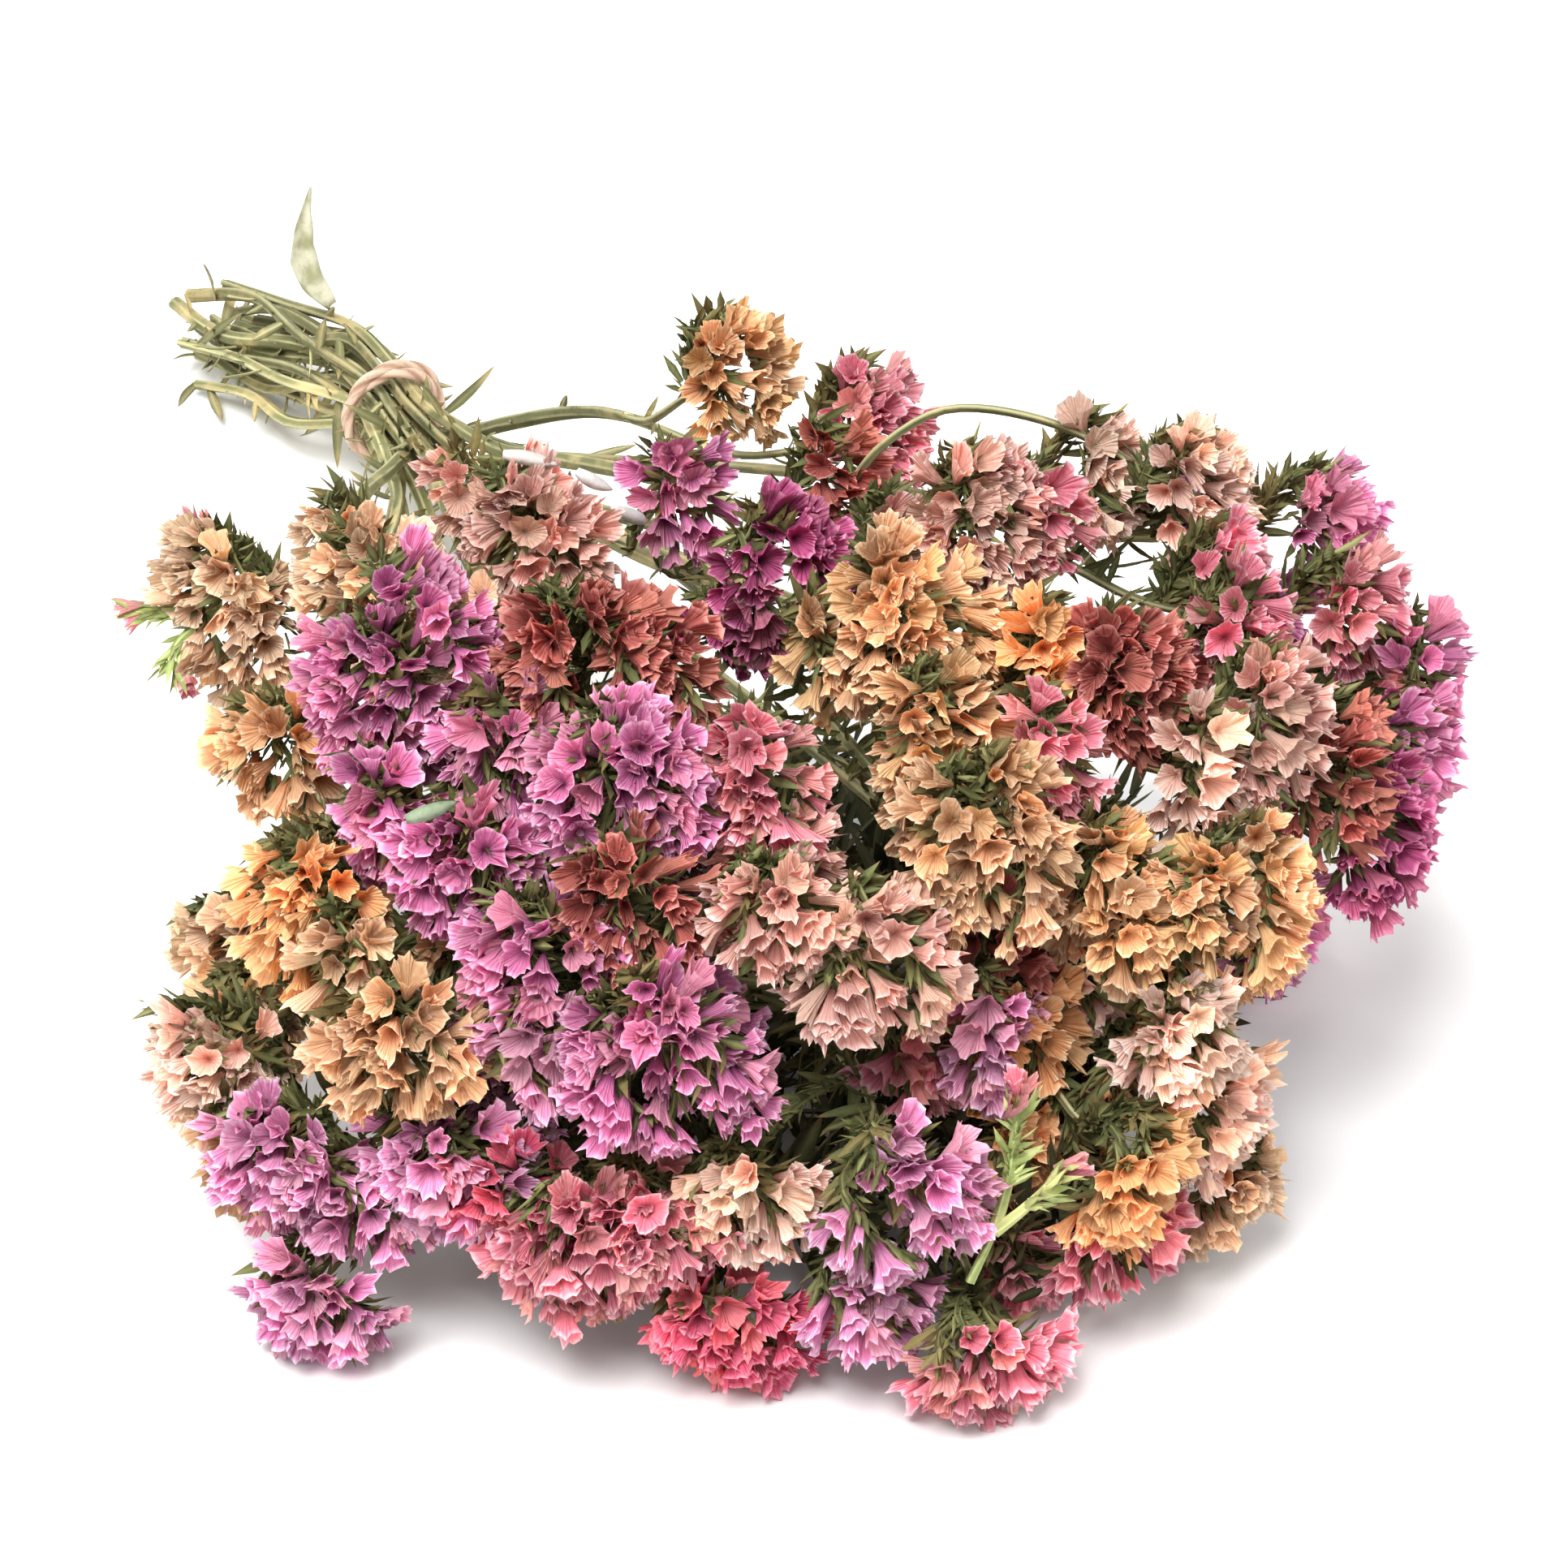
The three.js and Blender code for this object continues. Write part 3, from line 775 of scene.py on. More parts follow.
def closed_line(name: str, points: Any, ribs: Any) -> bpy.types.Object:
    """Makes a closed outline that a tree sweeps along a path.

    Args:
        name: the outline's name.
        points: its points in the XY plane.
        ribs: 1 on a ridge and 0 in a hollow, for each point.

    Returns:
        An object that isn't part of the scene.
    """
    mesh = bpy.data.meshes.new(name)
    count = len(points)
    edges = [(i, (i + 1) % count) for i in range(count)]
    mesh.from_pydata([(x, y, 0.0) for x, y in points], edges, [])
    add_numbers(mesh, "rib", ribs)
    add_numbers(mesh, "turn", np.arange(count) / count)
    return bpy.data.objects.new(name, mesh)


# ---- Geometry Nodes trees ----------------------------------------------------------------------


SHAPES_LOWEST = 0.3 * MM  # small shapes are pressed flat at this height above the floor
RODS_LOWEST = 0.2 * MM


@dataclass(frozen=True)
class RankLayout:
    """How small shapes stand in ranks along a line. The tree's inputs have the same names."""

    pitch: float = 5.5 * MM
    ranks: int = 3
    rank_gap: float = 2.0 * MM
    splay: float = 0.6
    lean: float = 0.35
    wobble: float = 0.25
    jitter: float = 1.2 * MM
    smallest: float = 0.8
    largest: float = 1.1
    share: float = 1.0

    def inputs(self) -> dict[str, float]:
        """Returns the values by the names of the tree's inputs."""
        return {name.replace("_", " ").title(): value for name, value in vars(self).items()}


def ended_tree(w: TreeWriter, geometry: Any, finish: Any, lowest: float) -> bpy.types.NodeTree:
    """Ends a tree: instances made real, nothing under the floor, and a material.

    Args:
        w: the tree's writer.
        geometry: the geometry so far.
        finish: the material's socket.
        lowest: the height that every point is kept above.

    Returns:
        The finished tree.
    """
    real = w.add("GeometryNodeRealizeInstances", {"Geometry": geometry}).outputs[0]
    place = w.add("GeometryNodeInputPosition").outputs[0]
    parts = w.add("ShaderNodeSeparateXYZ", {0: place}).outputs
    above = w.math("MAXIMUM", parts[2], lowest)
    rested = w.add("ShaderNodeCombineXYZ", {0: parts[0], 1: parts[1], 2: above}).outputs[0]
    real = w.add("GeometryNodeSetPosition", {"Geometry": real, "Position": rested}).outputs[0]
    done = w.add("GeometryNodeSetMaterial", {"Geometry": real, "Material": finish})
    w.add("NodeGroupOutput", {0: done.outputs[0]})
    return w.tree


def pieces_along_path_tree() -> bpy.types.NodeTree:
    """Writes the tree that sets small shapes in ranks along guide lines.

    Each guide point carries an outward vector and a size. The shapes stand on the line, lean
    outwards, splay to both sides by rank and lean on along the line.

    Returns:
        The finished tree.
    """
    sockets: dict[str, tuple[str, Any]] = {"Shapes": ("NodeSocketCollection", None)}
    for label, value in RankLayout().inputs().items():
        sockets[label] = ("NodeSocketInt" if isinstance(value, int) else "NodeSocketFloat", value)
    sockets["Spin"] = ("NodeSocketFloat", math.pi)
    sockets["Seed"] = ("NodeSocketInt", 1)
    sockets["Finish"] = ("NodeSocketMaterial", None)
    w, given = new_geometry_tree("shapes_in_ranks", sockets)

    def seed(step: int) -> Any:
        """Returns a seed of its own for each random value."""
        return w.math("ADD", given["Seed"], float(step))

    line = w.add("GeometryNodeMeshToCurve", {0: given["Geometry"]}).outputs[0]
    walk = w.add("GeometryNodeCurveToPoints", {"Curve": line}, mode="LENGTH")
    w.tree.links.new(given["Pitch"], walk.inputs["Length"])
    points = w.store(walk.outputs["Points"], "forward", walk.outputs["Tangent"], "FLOAT_VECTOR")
    ranked = w.add(
        "GeometryNodeDuplicateElements",
        {"Geometry": points, "Amount": given["Ranks"]},
        domain="POINT",
    )
    middle = w.math("MULTIPLY", w.math("SUBTRACT", given["Ranks"], 1.0), 0.5)
    rank = w.math("SUBTRACT", ranked.outputs["Duplicate Index"], middle)
    points = w.store(ranked.outputs["Geometry"], "rank", rank)
    rank = w.attribute("rank")
    outward = w.vector("NORMALIZE", w.attribute("outward", "FLOAT_VECTOR"))
    forward = w.attribute("forward", "FLOAT_VECTOR")
    side = w.vector("NORMALIZE", w.vector("CROSS_PRODUCT", forward, outward))
    loose = w.random((-1.0,) * 3, (1.0,) * 3, seed(1), "FLOAT_VECTOR")
    heading = w.vector("ADD", outward, w.scaled(side, w.math("MULTIPLY", rank, given["Splay"])))
    heading = w.vector("ADD", heading, w.scaled(forward, given["Lean"]))
    heading = w.vector("ADD", heading, w.scaled(loose, given["Wobble"]))
    heading = w.vector("NORMALIZE", heading)
    shift = w.scaled(side, w.math("MULTIPLY", rank, given["Rank Gap"]))
    shaken = w.random((-1.0,) * 3, (1.0,) * 3, seed(2), "FLOAT_VECTOR")
    shift = w.vector("ADD", shift, w.scaled(shaken, given["Jitter"]))
    staggered = w.math("MULTIPLY", w.math("PINGPONG", rank, 1.0), given["Pitch"])
    shift = w.vector("ADD", shift, w.scaled(forward, w.math("MULTIPLY", staggered, 0.5)))
    points = w.store(points, "heading", heading, "FLOAT_VECTOR")
    points = w.add("GeometryNodeSetPosition", {"Geometry": points, "Offset": shift}).outputs[0]
    turned = w.add(
        "FunctionNodeAlignRotationToVector",
        {"Vector": w.attribute("heading", "FLOAT_VECTOR")},
        axis="Z",
    )
    back = w.math("MULTIPLY", given["Spin"], -1.0)
    spin = w.add(
        "FunctionNodeAxisAngleToRotation",
        {"Axis": (0.0, 0.0, 1.0), "Angle": w.random(back, given["Spin"], seed(3))},
    )
    turned = w.add(
        "FunctionNodeRotateRotation",
        {"Rotation": turned.outputs[0], "Rotate By": spin.outputs[0]},
        rotation_space="LOCAL",
    )
    size = w.random(given["Smallest"], given["Largest"], seed(4))
    size = w.math("MULTIPLY", size, w.attribute("fullness"))
    picked = w.random(0, 1000, seed(5), "INT")
    chosen = w.add(
        "GeometryNodeCollectionInfo",
        {"Collection": given["Shapes"], "Separate Children": True, "Reset Children": True},
    )
    kept = w.math("LESS_THAN", w.random(0.0, 1.0, seed(6)), given["Share"])
    placed = w.add(
        "GeometryNodeInstanceOnPoints",
        {
            "Points": points,
            "Selection": kept,
            "Instance": chosen.outputs[0],
            "Pick Instance": True,
            "Instance Index": picked,
            "Rotation": turned.outputs[0],
            "Scale": size,
        },
    )
    shapes = w.store(placed.outputs[0], "tint", w.random(0.0, 1.0, seed(7)), domain="INSTANCE")
    shapes = w.store(shapes, "age", w.random(0.0, 1.0, seed(8)), domain="INSTANCE")
    return ended_tree(w, shapes, given["Finish"], SHAPES_LOWEST)


def swept_path_tree() -> bpy.types.NodeTree:
    """Writes the tree that sweeps an outline along guide lines, as thick as they say.

    Returns:
        The finished tree.
    """
    w, given = new_geometry_tree(
        "swept_lines",
        {
            "Outline": ("NodeSocketObject", None),
            "Step": ("NodeSocketFloat", 4 * MM),
            "Twist": ("NodeSocketFloat", 12.0),
            "Finish": ("NodeSocketMaterial", None),
        },
    )
    line = w.add("GeometryNodeMeshToCurve", {0: given["Geometry"]}).outputs[0]
    smooth = w.add("GeometryNodeCurveSplineType", {0: line}, spline_type="CATMULL_ROM").outputs[0]
    walk = w.add("GeometryNodeResampleCurve", {0: smooth})
    walk.mode = "LENGTH"
    w.tree.links.new(given["Step"], walk.inputs["Length"])
    length = w.add("GeometryNodeSplineParameter").outputs["Length"]
    line = w.store(walk.outputs[0], "run", length)
    twist = w.math("MULTIPLY", length, given["Twist"])
    twist = w.math("ADD", twist, w.math("MULTIPLY", w.attribute("tint"), 2 * math.pi))
    line = w.add("GeometryNodeSetCurveTilt", {0: line, "Tilt": twist}).outputs[0]
    outline = w.add("GeometryNodeObjectInfo", {"Object": given["Outline"]}).outputs["Geometry"]
    outline = w.add("GeometryNodeMeshToCurve", {0: outline}).outputs[0]
    swept = w.add(
        "GeometryNodeCurveToMesh",
        {
            "Curve": line,
            "Profile Curve": outline,
            "Scale": w.attribute("thick"),
            "Fill Caps": True,
        },
    ).outputs[0]
    smooth = w.add("GeometryNodeSetShadeSmooth", {0: swept}).outputs[0]
    return ended_tree(w, smooth, given["Finish"], RODS_LOWEST)


# ---- What all the parts share ------------------------------------------------------------------


@dataclass(frozen=True)
class Rod:
    """A rod's middle line, its half thickness at both ends and the shade it dried to."""

    points: Any
    start: float
    end: float
    tint: float


def winged_outline() -> bpy.types.Object:
    """Returns a unit outline with two wings and two low ribs.

    Returns:
        The outline, with its ridges marked.
    """
    count, ridge_every = 12, 3
    hollow_reach, wing_reach, low_rib = 0.58, 0.66, 0.32
    points, ribs = [], []
    for i in range(count):
        turn = 2 * math.pi * i / count
        wing = abs(math.cos(turn)) ** 3
        ridge = i % ridge_every == 0
        low = low_rib if ridge else 0.0
        reach = hollow_reach + wing_reach * wing + low * (1 - wing)
        points.append((reach * math.cos(turn), reach * math.sin(turn)))
        # The finish paints the ridges lighter and the rest darker: painted light and shade.
        ribs.append(1.0 if ridge else 0.15)
    return closed_line("stem_outline", points, ribs)


def floret_set(name: str, counts: dict[FloretKind, int], seed: int) -> bpy.types.Collection:
    """Makes calyxes of several kinds.

    Args:
        name: the collection's name.
        counts: how many calyxes of each kind.
        seed: the first calyx's seed.

    Returns:
        The collection of calyxes.
    """
    kinds = [kind for kind, count in counts.items() for _ in range(count)]
    return shape_collection(name, [FloretShape(kind, seed + i) for i, kind in enumerate(kinds)])


def blade_set(name: str, sizes: Any, curl: float, seed: int, stations: int) -> Any:
    """Makes scales or leaf scraps of several sizes.

    Args:
        name: the collection's name.
        sizes: each blade's length and width in millimetres.
        curl: how far the tips bend back.
        seed: the first blade's seed.
        stations: how many rings each blade has.

    Returns:
        The collection of blades.
    """
    blades = []
    for i, (length, width) in enumerate(sizes):
        blades.append(BladeShape(f"{name}_{i}", length * MM, width * MM, curl, seed + i, stations))
    return shape_collection(name, blades)


FLORET_COUNTS = {
    FloretKind.OPEN: 7,
    FloretKind.HALF: 5,
    FloretKind.FOLDED: 4,
    FloretKind.BUD: 1,
}
BUD_COUNTS = {FloretKind.BUD: 3, FloretKind.HALF: 2}
SCALE_SIZES = ((4.5, 1.2), (5.5, 1.45), (6.5, 1.7), (7.5, 1.95), (8.5, 2.2))
SCRAP_SIZES = ((9, 2.0), (13, 2.5), (17, 3.0), (21, 3.5), (25, 4.0))


@dataclass
class Workshop:
    """The trees, repeated shapes, outlines and finishes that the parts are made with."""

    ranks: bpy.types.NodeTree = field(default_factory=pieces_along_path_tree)
    sweep: bpy.types.NodeTree = field(default_factory=swept_path_tree)
    finishes: dict[str, bpy.types.Material] = field(default_factory=all_materials)
    stem_outline: bpy.types.Object = field(default_factory=winged_outline)
    florets: bpy.types.Collection = field(init=False)
    buds: bpy.types.Collection = field(init=False)
    scales: bpy.types.Collection = field(init=False)
    scraps: bpy.types.Collection = field(init=False)

    def __post_init__(self) -> None:
        """Makes the repeated shapes."""
        self.florets = floret_set("floret", FLORET_COUNTS, 100)
        self.buds = floret_set("bud", BUD_COUNTS, 200)
        self.scales = blade_set("scale", SCALE_SIZES, 0.8 * MM, 300, 2)
        self.scraps = blade_set("scrap", SCRAP_SIZES, 3 * MM, 400, 6)

    def set_shapes(
        self,
        name: str,
        shapes: bpy.types.Collection,
        layout: RankLayout,
        finish: str,
        lines: list[Any],
        outwards: list[Any],
        fullness: Any,
        seed: int,
        nodes: tuple[str, ...] = (),
    ) -> None:
        """Makes a piece of small shapes that stand in ranks along lines.

        Args:
            name: the piece's name.
            shapes: the collection that each shape is picked from.
            layout: how the shapes stand.
            finish: the finish's name.
            lines: the points of each line.
            outwards: the outward vector at each of those points.
            fullness: the shapes' size, as one number or as one for each of those points.
            seed: the start of the random choices.
            nodes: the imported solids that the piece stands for.
        """
        if isinstance(fullness, float):
            fullness = [np.full(len(line), fullness) for line in lines]
        guide = guide_from(name + "_guide", lines, {"fullness": fullness}, {"outward": outwards})
        inputs = {"Shapes": shapes, **layout.inputs()}
        inputs |= {"Seed": seed, "Finish": self.finishes[finish]}
        settle(grown_mesh(name, guide, self.ranks, inputs), finish, *nodes)

    def sweep_rods(
        self,
        name: str,
        rods: list[Rod],
        finish: str,
        step: float,
        twist: float = 12.0,
        outline: bpy.types.Object | None = None,
        nodes: tuple[str, ...] = (),
    ) -> None:
        """Makes a piece of rods.

        Args:
            name: the piece's name.
            rods: the rods.
            finish: the finish's name.
            step: the distance between the rings of points along a rod.
            twist: radians in a metre.
            outline: the rods' outline, or none for a stem's.
            nodes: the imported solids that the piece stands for.
        """
        numbers = {
            "thick": [np.linspace(rod.start, rod.end, len(rod.points)) for rod in rods],
            "tint": [np.full(len(rod.points), rod.tint) for rod in rods],
        }
        guide = guide_from(name + "_guide", [rod.points for rod in rods], numbers)
        inputs = {
            "Outline": outline or self.stem_outline,
            "Step": step,
            "Twist": twist,
            "Finish": self.finishes[finish],
        }
        settle(grown_mesh(name, guide, self.sweep, inputs), finish, *nodes)


def surface_of(node: str) -> BVHTree:
    """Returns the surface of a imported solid, for casting rays at it."""
    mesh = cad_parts[node].data
    places = [v.co.copy() for v in mesh.vertices]
    return BVHTree.FromPolygons(places, [tuple(p.vertices) for p in mesh.polygons])


def points_of(node: str) -> Any:
    """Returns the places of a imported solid's points."""
    return np.array([v.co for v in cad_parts[node].data.vertices])


def spaced(line: Any, step: float) -> Any:
    """Returns points about a step apart along a line of points."""
    line = np.asarray(line)
    length = np.concatenate([[0.0], np.cumsum(np.linalg.norm(np.diff(line, axis=0), axis=1))])
    stops = np.arange(0.0, length[-1], step)
    return np.stack([np.interp(stops, length, line[:, axis]) for axis in range(3)], axis=1)


def spaced_along(rods: list[Any]) -> Any:
    """Returns points 4 mm apart along every rod."""
    return np.concatenate([spaced(line, 4 * MM) for line in rods])


# ---- Flower heads ------------------------------------------------------------------------------


CALYX_RANKS = RankLayout(
    pitch=4.8 * MM,
    ranks=3,
    rank_gap=1.8 * MM,
    wobble=0.36,
    jitter=1.4 * MM,
    smallest=0.78,
    largest=1.12,
    share=0.88,
)
SCALE_RANKS = RankLayout(
    pitch=2.6 * MM,
    ranks=5,
    rank_gap=0.7 * MM,
    splay=0.8,
    lean=0.7,
    wobble=0.7,
    jitter=1.0 * MM,
    smallest=0.7,
    largest=1.3,
)


@dataclass
class Spray:
    """A few arched spikes of calyxes that fan out from the end of one branch."""

    name: str
    slot: str
    seed: int
    tie: Vector
    middle: Vector
    half_length: float = 20 * MM
    half_width: float = 18 * MM
    half_depth: float = 13 * MM
    replaced: tuple[str, ...] = ()
    spike_gap: float = 13.0 * MM  # between neighbouring spikes, across the spray
    spike_points: int = 7
    floret_depth: float = 8.5 * MM  # from a spike's axis to the calyxes' rims
    base_depth: float = 11.3 * MM
    core_height: float = 72 * MM
    core_share: float = 0.82
    lift: float = 1.3
    droop: float = 0.5
    facing: Vector = field(init=False)
    down: Vector = field(init=False)
    across: Vector = field(init=False)

    # Where a middle spike starts and ends, and how much earlier an outermost one ends.
    FIRST, LAST, SHORTER = -0.7, 1.1, 0.25
    # How much spikes differ: standard deviations of their place, ends, bow and depth.
    SIDE_SPREAD, END_SPREAD, BOW_SPREAD, SINK_SPREAD = 0.08, 0.2, 0.16, 3.2 * MM
    OVERSHOOT = 1.15  # how far the layout reaches past the spray's half sizes
    LEAST_REACH = 2 * MM
    STALK_FOOT, STALK_TIP = 1.1 * MM, 0.5 * MM  # a branchlet's half thickness at its ends
    TINT_STEP = 0.37
    SCALE_SEED = 31

    def __post_init__(self) -> None:
        """Turns the spray away from the bunch's core and from the tie."""
        place = self.middle - Vector((self.tie.x, self.tie.y, 0))
        core = Vector((0, place.y * self.core_share, self.core_height))
        from_tie = (place - Vector((0, 0, self.tie.z))).normalized()
        self.facing = ((place - core).normalized() * self.lift + from_tie).normalized()
        down = from_tie - UP * self.droop
        self.down = (down - self.facing * down.dot(self.facing)).normalized()
        self.across = self.facing.cross(self.down)

    @property
    def lean(self) -> float:
        """How far the calyxes nod on along their spike; those on top of the bunch nod most."""
        return 0.3 + 0.55 * max(0.0, self.facing.z)

    @property
    def base(self) -> Vector:
        """The end of the branch, behind the spray's middle."""
        return self.middle - self.facing * self.base_depth

    def reach(self, ray: Vector) -> float:
        """Returns how far the spray's outer skin is from its middle in a unit direction."""
        along = ray.dot(self.down) / self.half_length
        sideways = ray.dot(self.across) / self.half_width
        outward = ray.dot(self.facing) / self.half_depth
        return 1 / math.sqrt(along * along + sideways * sideways + outward * outward)

    def spray_ray(self, along: float, side: float) -> Vector:
        """Returns the direction from the middle to a place on the spray, given from -1 to 1."""
        return (
            self.facing * self.half_depth * 0.8
            + self.down * self.half_length * along
            + self.across * self.half_width * side
        ).normalized()

    def spikes(self) -> tuple[list[Any], list[Any], list[Any]]:
        """Lays out the spikes' axes.

        Returns:
            The points, outward vectors and fullness of each spike's flowering part.
        """
        draw = np.random.default_rng(self.seed)
        count = max(2, round(2 * self.half_width / self.spike_gap))
        lines, outwards, fullness = [], [], []
        for number in range(count):
            side = (number + 0.5) / count * 2 - 1
            side = side + draw.normal(0, self.SIDE_SPREAD)
            start = self.FIRST + draw.normal(0, self.END_SPREAD)
            end = self.LAST - self.SHORTER * side**2 + draw.normal(0, self.END_SPREAD)
            bow = draw.normal(0, self.BOW_SPREAD)
            sink = draw.normal(0, self.SINK_SPREAD)
            line, outward, full = [], [], []
            for step in range(self.spike_points):
                share = step / (self.spike_points - 1)
                along = start + (end - start) * share
                fan = 0.5 + 0.5 * min(1.0, share * 1.6)
                sideways = side * fan * self.OVERSHOOT + bow * math.sin(3 * share)
                ray = self.spray_ray(along * self.OVERSHOOT, sideways)
                reach = max(self.reach(ray) - self.floret_depth - sink, self.LEAST_REACH)
                line.append(self.middle + ray * reach)
                outward.append((ray + self.facing * 0.25).normalized())
                full.append(1.0 - 0.3 * share**3)
            lines.append(line)
            outwards.append(outward)
            fullness.append(full)
        return lines, outwards, fullness

    def stalk_start(self) -> list[Vector]:
        """Returns the points that lead to the spikes' shared base."""
        return [self.base]

    def build(self, shop: Workshop) -> None:
        """Makes the spray's calyxes, the branchlets under them and the scales on those.

        Args:
            shop: the shared trees, shapes and finishes.
        """
        lines, outwards, fullness = self.spikes()
        layout = replace(CALYX_RANKS, lean=self.lean)
        name = "calyxes_" + self.name
        look = (self.slot, lines, outwards, fullness)
        shop.set_shapes(name, shop.florets, layout, *look, self.seed, self.replaced)
        stalks, facings = self._stalks(lines, outwards)
        rods = [
            Rod(stalk, self.STALK_FOOT, self.STALK_TIP, (number * self.TINT_STEP) % 1)
            for number, stalk in enumerate(stalks)
        ]
        name = "branchlets_" + self.name
        shop.sweep_rods(name, rods, "scale_green", 4 * MM, 20.0, nodes=self.replaced)
        name, seed = "scales_" + self.name, self.seed + self.SCALE_SEED
        shop.set_shapes(
            name, shop.scales, SCALE_RANKS, "scale_green", stalks, facings, 1.0, seed, self.replaced
        )

    def _stalks(self, lines: list[Any], outwards: list[Any]) -> tuple[list[Any], list[Any]]:
        """Leads each spike's axis back to the end of the branch.

        Args:
            lines: the points of each spike's axis.
            outwards: the outward vector at each of those points.

        Returns:
            The points of each stalk, and the outward vectors at them.
        """
        stalks, facings = [], []
        lead = self.stalk_start()
        for number, (line, outward) in enumerate(zip(lines, outwards, strict=True)):
            bend = line[0] - self.facing * 2 * MM - self.down * 5 * MM
            stalk = [lead[-1], (lead[-1] + bend) / 2 - self.down * 2.5 * MM, bend, *line]
            if number == 0:
                stalk = [*lead[:-1], *stalk]
            extra = len(stalk) - len(line)
            stalks.append(stalk)
            facings.append([outward[0]] * extra + list(outward))
        return stalks, facings


@dataclass
class FlowerHead(Spray):
    """A spray that fills, and stands a little proud of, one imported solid."""

    proud: float = 1.5 * MM
    surface: BVHTree | None = None

    @classmethod
    def around(cls, node: str, seed: int, tie: Vector) -> "FlowerHead":
        """Reads a head's place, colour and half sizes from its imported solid.

        Args:
            node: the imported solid's name.
            seed: the start of the head's random choices.
            tie: the middle of the tie.

        Returns:
            The head.
        """
        points = points_of(node)
        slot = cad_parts[node].data.materials[0].name.split(".")[0]
        name = node.replace("flower_head_", "")
        head = cls(name, slot, seed, tie, Vector(points.mean(axis=0)), replaced=(node,))
        head.surface = surface_of(node)
        away = points - np.array(head.middle)
        head.half_length = float(np.abs(away @ np.array(head.down)).max()) + head.proud
        head.half_width = float(np.abs(away @ np.array(head.across)).max()) + head.proud
        head.half_depth = float((away @ np.array(head.facing)).max())
        return head

    def reach(self, ray: Vector) -> float:
        """Returns how far the head's skin is from its middle in a unit direction."""
        hit = self.surface.ray_cast(self.middle, ray)[0]
        if hit is None:
            return self.half_depth
        return (hit - self.middle).length + self.proud


@dataclass
class SideSpray(Spray):
    """A smaller spray on a side branch, which fills the space between the heads."""

    foot: Vector | None = None  # where its branch leaves the stem

    def branch_from(self, points: Any, back: float = -math.inf) -> None:
        """Finds the place on the rods that the side branch leaves.

        Args:
            points: places along the rods.
            back: how much nearer to the tie that place should be.
        """
        away = points - np.array(self.base)
        distance = np.linalg.norm(away, axis=1) + np.where(away[:, 1] > back, 0.0, 1.0)
        self.foot = Vector(points[int(distance.argmin())])

    def stalk_start(self) -> list[Vector]:
        """Returns the side branch's points, from its stem to the spray's base."""
        rise = (self.base - self.foot) * 0.5 + self.facing * 3 * MM - self.down * 4 * MM
        return [self.foot, self.foot + rise, self.base]


# Between which heads each side spray stands: a head that is named twice draws it nearer, and
# "tie" draws it towards the tie. The number is its size in millimetres.
SIDE_SPRAYS = [
    ("blush", "02a 02a tie", 26),
    ("purple", "02a 02b 01a", 28),
    ("rose", "01b 01b 02b", 32),
    ("pink", "03a 03a 04a", 34),
    ("apricot", "07a 07a 07a 13b", 32),
    ("orange", "07a 03b 03b", 36),
    ("pink", "03b 07b", 36),
    ("pink", "03b 04a 04c", 38),
    ("pink", "04c 03b", 34),
    ("rose", "06a 06b", 34),
    ("purple", "06c 06b", 34),
    ("salmon", "03b 06a 08a", 38),
    ("apricot", "07b 08a", 34),
    ("rose", "07b 12b 08b 09b", 38),
    ("orange", "07b 08b 09b 10a", 38),
    ("apricot", "08a 08b 07b", 36),
    ("blush", "12b 12b 10a 07b", 38),
    ("pink", "12b 10a 09b", 38),
    ("salmon", "12a 11a 10a", 38),
    ("rose", "12b 13a 12a 13c", 38),
    ("pink", "13a 12b 07a", 38),
    ("purple", "13c 12a", 40),
    ("crimson", "11b 17b", 38),
    ("pink", "11a 11b 12a", 34),
    ("mauve", "10a 11a 10b", 36),
    ("pink", "10b 08c 09a", 36),
    ("purple", "08b 05b 06b", 34),
    ("salmon", "08b 09a", 38),
    ("apricot", "15a 14b", 38),
    ("peach", "16b 16a", 36),
    ("cream", "16a 17a 17c 16a", 34),
    ("peach", "15a 15b tie", 30),
    ("salmon", "15b 13b", 38),
    ("mauve", "14c 12a", 40),
    ("peach", "14b 14c", 36),
    ("purple", "14a 13a", 38),
    ("purple", "14a 13c 14b", 34),
    ("apricot", "07a 07b", 38),
    ("mauve", "17a 17b 17c", 34),
    ("mauve", "17b 14c 11c", 36),
    ("rose", "13b 13a 02b", 32),
    ("orange", "09b 08c 10a", 36),
    ("rose", "08b 09b", 36),
    ("pink", "05a 06b", 34),
    ("orange", "10b 09b 09a", 38),
    ("pink", "10b 10b 09b", 32),
]


SIDE_SEED, SIDE_SEED_STEP = 5000, 13
SIDE_DEPTH = 14 * MM
SIDE_LENGTH = 1.15  # of the width
BRANCH_BACK = 12 * MM  # a side branch leaves its stem at least this much nearer to the tie
LOWEST_UNDER = 55 * MM  # a head lower than this has no spray under it
NEAREST_UNDER = 220 * MM  # nor has one nearer to the tie than this
UNDER_SIZE = {"half_length": 19 * MM, "half_width": 15 * MM, "half_depth": 13 * MM}
UNDER_SEED, UNDER_SEED_SHIFT = 77, 7000
UNDER_DEPTH = (24, 32)  # the least and the most millimetres below the head
UNDER_SHIFT = 16  # the most millimetres along the head
UNDER_SPREAD = 9 * MM  # across the head


